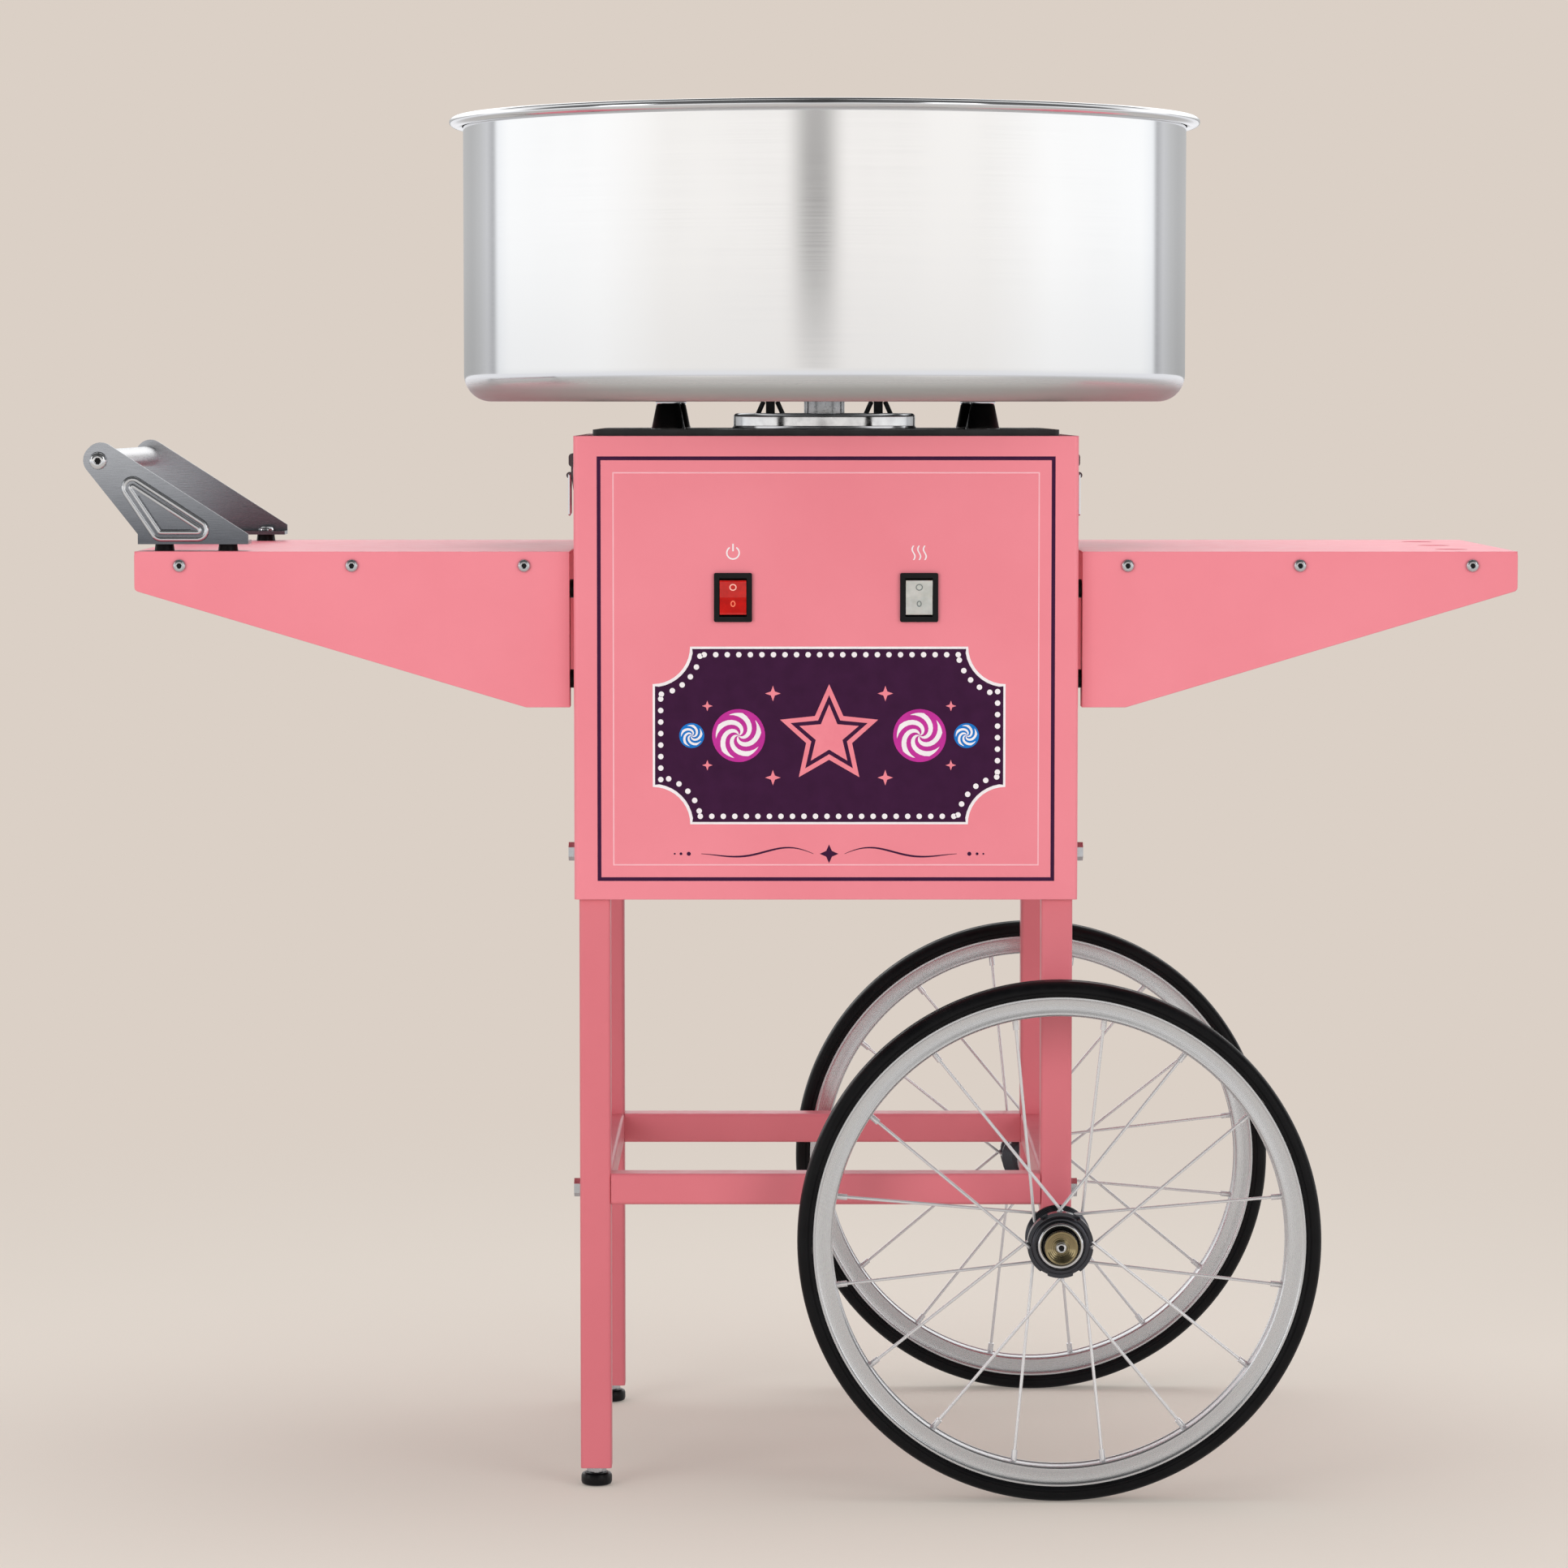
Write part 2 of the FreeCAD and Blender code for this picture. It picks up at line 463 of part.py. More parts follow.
def floss_head():
    """Everything on the drive axis, from the motor up to the head's nut."""
    wall = "dome_wall"
    dome = turned("dome_body", [
        ("collar_radius + dome_clear", f"dome_height - {wall}"),
        (f"dome_top_radius - {wall}", f"dome_height - {wall}", "dome_corner"),
        (f"dome_radius - {wall}", "0"), ("dome_radius", "0"),
        ("dome_top_radius", "dome_height", f"dome_corner + {wall}"),
        ("collar_radius + dome_clear", "dome_height")])
    place(node(dome, "dome_cover"), "mid_x", "0", "deck")
    collar = turned("collar_body", [
        ("shaft_radius + seat_gap", "0"), ("collar_radius", "0"), ("collar_radius", "collar_length"),
        ("shaft_radius + seat_gap", "collar_length")])
    gather("slip_rings", place(collar, "mid_x", "0", "collar_base"))
    for index in (0, 1):
        ring = turned(f"contact_ring_{index}", [
            ("collar_radius + seat_gap", "0"), ("collar_radius + ring_wall", "0"),
            ("collar_radius + ring_wall", "ring_height"), ("collar_radius + seat_gap", "ring_height")])
        level = f"collar_base + ring_level - ring_height / 2 + {index} * ring_pitch"
        gather("slip_rings", place(ring, "mid_x", "0", level))
    shaft = turned("shaft_body", [
        ("0", "0"), ("shaft_radius", "0"),
        ("shaft_radius", "head_hub_top - motor_top + shaft_sink + nut_height", "shaft_edge"),
        ("0", "head_hub_top - motor_top + shaft_sink + nut_height")])
    place(node(shaft, "drive_shaft"), "mid_x", "0", "motor_top - shaft_sink")
    base = turned("head_base_body", [
        ("shaft_radius + seat_gap", "0"), ("head_radius - head_edge", "0"), ("head_radius", "head_edge"),
        ("head_radius", "head_floor"), ("head_hub", "head_floor"), ("head_hub", "head_hub_height"),
        ("shaft_radius + seat_gap", "head_hub_height")])
    place(node(base, "head_base"), "mid_x", "0", "head_base")
    band = turned("head_band_body", [
        ("head_radius - band_wall", "0"), ("head_radius", "0"), ("head_radius", "band_height"),
        ("head_radius - band_wall", "band_height")])
    slot = sketch_on(band, "XZ_Plane")
    rectangle(slot, "0", "band_height / 2", "slot_width", "slot_height")
    opening = grow(band, "Pocket", slot, "head_radius + run_gap", Reversed=False)
    slots = band.newObject("PartDesign::PolarPattern", "slots")
    slots.Originals = [opening]
    slots.Axis = (origin_part(band, "Z_Axis"), [""])
    slots.Angle = 360
    bind(slots, "Occurrences", "slot_count")
    band.Tip = slots
    place(node(band, "head_band"), "mid_x", "0", "head_base + head_floor")
    cover = turned("head_cover_body", [
        ("head_radius", "0"), ("head_radius", "cover_rim"), ("mouth_radius + mouth_land", "cover_height"),
        ("mouth_radius", "cover_height"), ("mouth_radius", "cover_height - mouth_lip"),
        ("head_radius - cover_seat", "0")])
    place(node(cover, "head_cover"), "mid_x", "0", "head_base + head_floor + band_height")
    heater = turned("heater_body", [
        ("head_radius - band_wall - heater_gap - heater_strip", "0"), ("head_radius - band_wall - heater_gap", "0"),
        ("head_radius - band_wall - heater_gap", "heater_width"),
        ("head_radius - band_wall - heater_gap - heater_strip", "heater_width")])
    place(node(heater, "heater_ribbon"), "mid_x", "0", "head_base + head_floor")
    nut = body("head_nut_body")
    hexagon = sketch_on(nut, "XY_Plane")
    outline(hexagon, [(f"nut_radius * cos({60 * k})", f"nut_radius * sin({60 * k})") for k in range(6)])
    circle(hexagon, "0", "0", "shaft_radius + seat_gap")
    grow(nut, "Pad", hexagon, "nut_height")
    place(node(nut, "head_nut"), "mid_x", "0", "head_hub_top")
    motor = turned("motor_body_turned", [
        ("0", "0"), ("motor_radius - motor_edge", "0"), ("motor_radius", "motor_edge"),
        ("motor_radius", "motor_height - motor_edge"), ("motor_radius - motor_edge", "motor_height"),
        ("motor_boss_radius", "motor_height"), ("motor_boss_radius", "motor_height + motor_boss"),
        ("shaft_radius + run_gap", "motor_height + motor_boss"),
        ("shaft_radius + run_gap", "motor_height - shaft_sink - bore_room"),
        ("0", "motor_height - shaft_sink - bore_room")])
    place(node(motor, "motor"), "mid_x", "0", "motor_top - motor_height")


def motor_bracket():
    """Hat shaped strap that hangs the motor under the deck, with its four bolts."""
    owner = body("motor_bracket_body")
    half, strap, knee = "bracket_width / 2", "bracket_sheet", "(bracket_width / 2 - bracket_toe)"
    side_view = sketch_on(owner, "XZ_Plane")
    outline(side_view, [
        (f"0 - {knee}", "0"), (knee, "0"), (knee, f"motor_drop - {strap}"), (half, f"motor_drop - {strap}"),
        (half, "motor_drop"), (f"{knee} - {strap}", "motor_drop"), (f"{knee} - {strap}", strap),
        (f"0 - {knee} + {strap}", strap), (f"0 - {knee} + {strap}", "motor_drop"), (f"0 - {half}", "motor_drop"),
        (f"0 - {half}", f"motor_drop - {strap}"), (f"0 - {knee}", f"motor_drop - {strap}")])
    grow(owner, "Pad", side_view, "bracket_length", Midplane=True)
    holes = sketch_on(owner, "XY_Plane")
    circle(holes, "0", "0", "motor_boss_radius + seat_gap")
    for side in (-1, 1):
        for end in (-1, 1):
            circle(holes, f"{side} * bracket_bolt_x", f"{end} * bracket_pitch / 2", "bolt_radius + run_gap")
    cut_through(owner, holes)
    place(node(owner, "motor_bracket"), "mid_x", "0", "motor_top")
    for side in (-1, 1):
        for end in (-1, 1):
            bolt = hex_bolt(f"motor_bolt_{side}_{end}", "plate + bracket_sheet + bolt_tail")
            gather("hex_bolts", place(bolt, f"mid_x + {side} * bracket_bolt_x", f"{end} * bracket_pitch / 2", "deck"))


def brushes():
    """Two spring brushes beside the slip rings, each with its pair of feed wires."""
    for index, (side, sign) in enumerate(SIDES):
        level = f"ring_level + collar_foot - dome_height + {index} * ring_pitch"
        owner = body(f"brush_{side}_body")
        inner = f"{sign} * (collar_radius + ring_wall + fit_gap)"
        front = sketch_on(owner, "XZ_Plane")
        outline(front, [
            (f"{sign} * (brush_offset - brush_foot / 2)", "0"), (f"{sign} * (brush_offset + brush_foot / 2)", "0"),
            (f"{sign} * (brush_offset + brush_foot / 2)", f"{level} + brush_size", "brush_round"),
            (inner, f"{level} + brush_size / 2"), (inner, f"{level} - brush_size / 2"),
            (f"{sign} * (brush_offset - brush_foot / 2)", f"{level} - brush_size / 2", "brush_round")])
        grow(owner, "Pad", front, "brush_size", Midplane=True)
        gather("brush_holders", place(owner, "mid_x", "0", "dome_top"))
        for end in (-1, 1):
            wire = cylinder(f"wire_{side}_{end}", "wire_radius", "wire_length")
            gather("brush_holders", place(wire, f"mid_x + {sign} * brush_offset + {end} * wire_spread", "0",
                                          "dome_top", (0, 1, 0), -end * number("wire_lean")))


def bowl():
    """Spun catch bowl with a rounded floor corner, a lipped centre hole and a rolled rim."""
    wall = "bowl_wall"
    shell = turned("bowl_shell", [
        ("bowl_hole", "0", "hole_corner"), ("bowl_radius", "0", "bowl_corner"),
        ("bowl_radius", f"bowl_height - {wall}"),
        ("bowl_rim - rim_bead", f"bowl_height - {wall}"), ("bowl_rim - rim_bead", "bowl_height"),
        (f"bowl_radius - {wall}", "bowl_height"), (f"bowl_radius - {wall}", wall, f"bowl_corner - {wall}"),
        (f"bowl_hole + {wall}", wall), (f"bowl_hole + {wall}", "bowl_lip"), ("bowl_hole", "bowl_lip")])
    bead = doc.addObject("Part::Torus", "bowl_bead")
    bind(bead, "Radius1", "bowl_rim - rim_bead")
    bind(bead, "Radius2", "rim_bead")
    place(bead, "0", "0", "bowl_height - rim_bead")
    place(node(join("bowl_whole", [shell, bead]), "bowl"), "mid_x", "0", "bowl_floor")


def bowl_posts():
    """Four tapered rubber posts that carry the bowl, each with a hard cap on top."""
    for side in (-1, 1):
        for end in (-1, 1):
            spot = (f"mid_x + {side} * post_span_x / 2", f"{end} * post_span_y / 2")
            post = doc.addObject("Part::Cone", f"post_{side}_{end}")
            bind(post, "Radius1", "post_base")
            bind(post, "Radius2", "post_top")
            bind(post, "Height", "post_height - post_cap")
            gather("bowl_posts", place(post, *spot, "deck"))
            cap = cylinder(f"cap_{side}_{end}", "post_top - cap_step", "post_cap")
            gather("bowl_posts", place(cap, *spot, "deck + post_height - post_cap"))


def square_tube(name, length, plane="XY_Plane"):
    owner = body(name)
    section = sketch_on(owner, plane)
    rectangle(section, "0", "0", "tube", "tube", "tube_round")
    rectangle(section, "0", "0", "tube - 2 * tube_wall", "tube - 2 * tube_wall")
    grow(owner, "Pad", section, length)
    return owner


def legs_and_feet():
    """Four tube legs: the left pair stands on screw feet, the right pair carries the axle."""
    for end, way in ENDS:
        left = square_tube(f"leg_{end}_left_body", "leg_top - foot_lift")
        bolts = sketch_on(left, "YZ_Plane")
        circle(bolts, "0", "rail_level - foot_lift", "bolt_radius + run_gap")
        circle(bolts, "0", "cabinet_floor + leg_lap / 2 - foot_lift", "bolt_radius + run_gap")
        cut_through(left, bolts)
        place(node(left, f"leg_{end}_left"), "mid_x - leg_x", f"{way} * leg_y", "foot_lift")
        right = square_tube(f"leg_{end}_right_body", "leg_top - wheel_radius + axle_skirt")
        bolts = sketch_on(right, "YZ_Plane")
        circle(bolts, "0", "rail_level - wheel_radius + axle_skirt", "bolt_radius + run_gap")
        circle(bolts, "0", "cabinet_floor + leg_lap / 2 - wheel_radius + axle_skirt", "bolt_radius + run_gap")
        cut_through(right, bolts)
        axle_hole = sketch_on(right, "XZ_Plane")
        circle(axle_hole, "0", "axle_skirt", "axle_radius + seat_gap")
        cut_through(right, axle_hole)
        place(node(right, f"leg_{end}_right"), "mid_x + leg_x", f"{way} * leg_y", "wheel_radius - axle_skirt")
        pad = turned(f"foot_{end}_body", [
            ("0", "0"), ("foot_radius - foot_edge", "0"), ("foot_radius", "foot_edge"),
            ("foot_radius", "foot_pad - foot_edge"), ("foot_radius - foot_edge", "foot_pad"),
            ("foot_nut", "foot_pad"), ("foot_nut", "foot_lift - fit_gap"), ("stud_radius", "foot_lift - fit_gap"),
            ("stud_radius", "foot_lift + leg_plug - stud_short"), ("0", "foot_lift + leg_plug - stud_short")])
        place(node(pad, f"foot_{end}"), "mid_x - leg_x", f"{way} * leg_y", "0")
        plug = body(f"leg_plug_{end}_body")
        section = sketch_on(plug, "XY_Plane")
        rectangle(section, "0", "0", "plug_width", "plug_width", "plug_corner")
        circle(section, "0", "0", "stud_radius + run_gap")
        grow(plug, "Pad", section, "leg_plug")
        gather("tube_plugs", place(plug, "mid_x - leg_x", f"{way} * leg_y", "foot_lift"))


def rails():
    """Long rails bolted through the legs into threaded end plugs, short rails welded between them."""
    long_rail = "2 * leg_x - tube"
    for end, way in ENDS:
        rail = square_tube(f"rail_{end}_body", long_rail, "YZ_Plane")
        place(node(rail, f"rail_{end}"), "mid_x - leg_x + tube / 2", f"{way} * leg_y", "rail_level")
        for side in (-1, 1):
            plug = body(f"insert_{end}_{side}_body".replace("-", "m"))
            section = sketch_on(plug, "YZ_Plane")
            rectangle(section, "0", "0", "plug_width", "plug_width")
            circle(section, "0", "0", "bolt_radius + seat_gap")
            grow(plug, "Pad", section, "insert_length", Midplane=True)
            gather("tube_plugs", place(plug, f"mid_x + {side} * (leg_x - tube / 2 - insert_length / 2)",
                                       f"{way} * leg_y", "rail_level"))
            for kind, level, reach in (("rail", "rail_level", "tube + insert_length - bolt_short"),
                                       ("leg", "cabinet_floor + leg_lap / 2", "tube + bolt_tail")):
                proud = "0" if kind == "rail" else "sheet + leg_inset"
                bolt = hex_bolt(f"{kind}_bolt_{end}_{side}".replace("-", "m"), f"{reach} + {proud}")
                place(bolt, f"mid_x + {side} * (leg_x + tube / 2 + {proud})", f"{way} * leg_y", level,
                      (0, 1, 0), side * 90)
                gather("hex_bolts", bolt)
    for side, way in SIDES:
        rail = square_tube(f"rail_{side}_body", "2 * leg_y - tube", "XZ_Plane")
        place(node(rail, f"rail_{side}"), f"mid_x + {way} * leg_x", "leg_y - tube / 2", "rail_level")


def hex_bolt(name, reach):
    """Bolt on its own Z axis: hexagon head above Z = 0, plain shank below."""
    owner = body(name)
    head = sketch_on(owner, "XY_Plane")
    outline(head, [(f"bolt_head * cos({60 * k})", f"bolt_head * sin({60 * k})") for k in range(6)])
    grow(owner, "Pad", head, "bolt_head_height")
    shank = sketch_on(owner, "XY_Plane")
    circle(shank, "0", "0", "bolt_radius")
    grow(owner, "Pad", shank, reach, Reversed=True)
    return owner


def wheels():
    """Spoked wheel at each end of one axle. Every wheel is modelled about its own axle line as Z."""
    for end, way in ENDS:
        spot = dict(x="mid_x + leg_x", y=f"{way} * wheel_y", z="wheel_radius", axis=(1, 0, 0), angle=-way * 90)
        tyre = turned(f"tyre_{end}_body", [
            ("rim_outer + seat_gap", "0 - rim_width / 2"),
            ("rim_outer + tyre_shoulder", "0 - tyre_width / 2", "tyre_edge"),
            ("wheel_radius", "0 - tyre_flat / 2", "tyre_round"), ("wheel_radius", "tyre_flat / 2", "tyre_round"),
            ("rim_outer + tyre_shoulder", "tyre_width / 2", "tyre_edge"), ("rim_outer + seat_gap", "rim_width / 2")])
        place(node(tyre, f"{end}_tyre"), **spot)
        rim = turned(f"rim_{end}_body", [
            ("rim_inner", "0 - rim_width / 2 + rim_bevel"), ("rim_inner + rim_rise", "0 - rim_width / 2"),
            ("rim_outer", "0 - rim_width / 2"), ("rim_outer", "0 - rim_width / 2 + rim_wall"),
            ("rim_inner + rim_floor", "0 - rim_width / 2 + rim_wall + rim_slope"),
            ("rim_inner + rim_floor", "rim_width / 2 - rim_wall - rim_slope"),
            ("rim_outer", "rim_width / 2 - rim_wall"), ("rim_outer", "rim_width / 2"),
            ("rim_inner + rim_rise", "rim_width / 2"), ("rim_inner", "rim_width / 2 - rim_bevel")])
        place(node(rim, f"{end}_rim"), **spot)
        hub = turned(f"hub_{end}_body", [
            ("axle_radius + run_gap", "0 - hub_width / 2"), ("hub_barrel + hub_dish", "0 - hub_width / 2"),
            ("hub_flange", "0 - hub_width / 2 + hub_dish"),
            ("hub_flange", "0 - hub_width / 2 + hub_dish + flange_sheet"),
            ("hub_barrel", "0 - hub_width / 2 + hub_waist", "hub_dish"),
            ("hub_barrel", "hub_width / 2 - hub_waist", "hub_dish"),
            ("hub_flange", "hub_width / 2 - hub_dish - flange_sheet"), ("hub_flange", "hub_width / 2 - hub_dish"),
            ("hub_barrel + hub_dish", "hub_width / 2"), ("axle_radius + run_gap", "hub_width / 2")])
        notched = sketch_on(hub, "XY_Plane", "hub_width / 2 - hub_dish")
        circle(notched, "0", "0", "hub_flange")
        circle(notched, "0", "0", "ring_outer")
        grow(hub, "Pad", notched, "ring_rise + hub_dish")
        notch = sketch_on(hub, "XY_Plane", "hub_width / 2 - hub_dish - flange_sheet")
        circle(notch, "hub_flange + notch_out", "0", "notch_radius")
        bite = grow(hub, "Pocket", notch, "ring_rise + 2 * hub_dish + flange_sheet", Reversed=True)
        notches = hub.newObject("PartDesign::PolarPattern", f"notches_{end}")
        notches.Originals = [bite]
        notches.Axis = (origin_part(hub, "Z_Axis"), [""])
        notches.Angle = 360
        bind(notches, "Occurrences", "notch_count")
        hub.Tip = notches
        place(node(hub, f"{end}_hub"), **spot)
        cap = turned(f"hub_cap_{end}_body", [
            ("axle_radius + run_gap", "0"), ("ring_outer - seat_gap", "0"), ("ring_outer - seat_gap", "cap_brim"),
            ("cap_radius", "cap_shoulder"), ("cap_radius", "cap_length"), ("axle_radius + run_gap", "cap_length")])
        place(node(cap, f"{end}_hub_cap"), **dict(spot, y=f"{way} * (wheel_y + hub_width / 2 + seat_gap)"))
        for spoke in spokes(end):
            gather(f"{end}_spokes", place(spoke, **spot))
        washer = turned(f"hub_spacer_{end}_body", [
            ("axle_radius + seat_gap", "0"), ("axle_radius + spacer_wall", "0"),
            ("axle_radius + spacer_wall", "wheel_offset - fit_gap"),
            ("axle_radius + seat_gap", "wheel_offset - fit_gap")])
        gather("hub_spacers", place(washer, "mid_x + leg_x", f"{way} * (leg_y + tube / 2)", "wheel_radius",
                                    (1, 0, 0), -way * 90))
    reach = "2 * (wheel_y + hub_width / 2 + cap_length + axle_end)"
    rod = cylinder("axle_rod", "axle_radius", reach)
    place(rod, "0", "0", f"0 - ({reach}) / 2")
    nuts = []
    for way in (-1, 1):
        nut = cylinder(f"axle_end_nut_{way}", "axle_nut", "axle_nut_height")
        middle = f"{way} * (({reach}) / 2 - axle_end / 2)"
        nuts.append(place(nut, "0", "0", f"{middle} - axle_nut_height / 2"))
    axle = node(join("axle_whole", [rod] + nuts), "axle")
    place(axle, "mid_x + leg_x", "0", "wheel_radius", (1, 0, 0), 90)


def spokes(end):
    """Crossed spokes of one wheel, from alternate hub flanges to nipples at the rim's inside."""
    made = []
    foot = "(hub_flange - spoke_inset)"
    for pair in range(int(number("spoke_pairs"))):
        for lean in (-1, 1):
            flange = 1 if pair % 2 else -1
            start = f"(360 / spoke_pairs * {pair} + {lean} * spoke_sweep - {lean} * 90 / spoke_pairs)"
            finish = f"(360 / spoke_pairs * {pair} + {lean} * 90 / spoke_pairs)"
            level = f"{flange} * (hub_width / 2 - hub_dish - flange_sheet / 2) + {lean} * spoke_cross"
            bore = "(rim_inner + spoke_sink)"
            tail = Vector(number(f"{foot} * cos({start})"), number(f"{foot} * sin({start})"), number(level))
            head = Vector(number(f"{bore} * cos({finish})"), number(f"{bore} * sin({finish})"), 0)
            run = head - tail
            wire = Part.makeCylinder(number("spoke_radius"), run.Length, tail, run)
            tip = head - run * (number("nipple_length") / run.Length)
            nipple = Part.makeCylinder(number("nipple_radius"), number("nipple_length"), tip, run)
            spoke = doc.addObject("Part::Feature", f"spoke_{end}_{pair}_{lean}")
            spoke.Shape = wire.fuse(nipple)
            made.append(spoke)
    return made


def shelf(side, way):
    """Folded shelf top between two slanted aprons, bolted to the cabinet wall over spacers."""
    root = f"mid_x + {way} * (cabinet_width / 2 + shelf_gap)"
    deep = "shelf_depth - 2 * sheet - 2 * seat_gap"
    top = body(f"{side}_shelf_top_body")
    plan = sketch_on(top, "XY_Plane")
    rectangle(plan, f"{way} * shelf_length / 2", "0", "shelf_length", deep)
    if way > 0:
        for k in (-1, 0, 1):
            circle(plan, "shelf_length - cone_inset", f"{k} * cone_pitch", "cone_hole")
    grow(top, "Pad", plan, "sheet", Reversed=True)
    for k in (-1, 1):
        fold = sketch_on(top, "XY_Plane", "0 - sheet")
        rectangle(fold, f"{way} * shelf_length / 2", f"{k} * (({deep}) / 2 - sheet / 2)", "shelf_length", "sheet")
        grow(top, "Pad", fold, "shelf_fold - sheet", Reversed=True)
    tip = sketch_on(top, "XY_Plane", "0 - sheet")
    rectangle(tip, f"{way} * (shelf_length - sheet / 2)", "0", "sheet", deep)
    grow(top, "Pad", tip, "shelf_fold - sheet", Reversed=True)
    holes = sketch_on(top, "XZ_Plane")
    for spot in screw_spots():
        circle(holes, f"{way} * ({spot})", "0 - shelf_screw_drop", "screw_radius + run_gap")
    cut_through(top, holes)
    if way < 0:
        seats = sketch_on(top, "XY_Plane")
        for x, y in handle_bolt_spots():
            circle(seats, f"{x} - shelf_length", y, "bolt_radius + run_gap")
        cut_through(top, seats)
    place(node(top, f"{side}_shelf_top"), root, "0", "shelf_level")
    for end, face in ENDS:
        apron = body(f"{side}_{end}_apron_body")
        shape = sketch_on(apron, "XZ_Plane")
        outline(shape, [
            ("0", "0"), (f"{way} * shelf_length", "0", "apron_corner"),
            (f"{way} * shelf_length", "0 - apron_end", "apron_corner"),
            (f"{way} * apron_foot", "0 - apron_height", "apron_corner * 2"), ("0", "0 - apron_height")])
        grow(apron, "Pad", shape, "sheet", Reversed=face < 0)
        flange = sketch_on(apron, "YZ_Plane")
        rectangle(flange, f"0 - {face} * apron_flange / 2", "0 - (apron_height + shelf_fold + fold_room) / 2",
                  "apron_flange", "apron_height - shelf_fold - fold_room")
        for level in ("mount_low", "mount_high"):
            circle(flange, f"0 - {face} * (sheet + apron_flange / 2)", f"{level} - apron_height",
                   "bolt_radius + run_gap")
        grow(apron, "Pad", flange, "sheet", Reversed=way < 0)
        holes = sketch_on(apron, "XZ_Plane")
        for spot in screw_spots():
            circle(holes, f"{way} * ({spot})", "0 - shelf_screw_drop", "screw_radius + run_gap")
        cut_through(apron, holes)
        gather(f"{side}_aprons", place(apron, root, f"{face} * apron_y", "shelf_level"))
        for index, spot in enumerate(screw_spots()):
            screw = button_screw(f"apron_screw_{side}_{end}_{index}", "screw_radius", "screw_head", "screw_dome",
                                 "2 * sheet + screw_tail")
            gather("panel_screws", place(screw, f"{root} + {way} * ({spot})", f"{face} * apron_y",
                                         "shelf_level - shelf_screw_drop", (1, 0, 0), -face * 90))
        for level in ("mount_low", "mount_high"):
            height = f"shelf_level - apron_height + {level}"
            depth = f"{face} * (apron_y - sheet - apron_flange / 2)"
            bolt = hex_bolt(f"mount_bolt_{side}_{end}_{level}", "2 * sheet + shelf_gap + bolt_tail")
            gather("hex_bolts", place(bolt, f"{root} + {way} * sheet", depth, height, (0, 1, 0), way * 90))
            spacer = turned(f"spacer_{side}_{end}_{level}", [
                ("bolt_radius + run_gap", "0"), ("bolt_head", "0"), ("bolt_head", "shelf_gap"),
                ("bolt_radius + run_gap", "shelf_gap")])
            gather("mount_spacers", place(spacer, f"{root} - {way} * shelf_gap", depth, height, (0, 1, 0), way * 90))


def screw_spots():
    """Distances of the three apron screws from the cabinet end of a shelf."""
    return ("shelf_screw_x", "shelf_length / 2", "shelf_length - shelf_screw_x")


def handle_bolt_spots():
    """Handle bolts as (distance in from the shelf's outer end, y)."""
    return [(f"handle_foot_near + handle_bolt_x + {k} * handle_bolt_span", f"{way} * (handle_y - handle_flange / 2)")
            for way in (-1, 1) for k in (0, 1)]


# Middle line of the stiffening bead, as offsets from its own centre.
BEAD = ((-26.6, 29.1), (-4.8, -8.7), (25.7, -7.7))


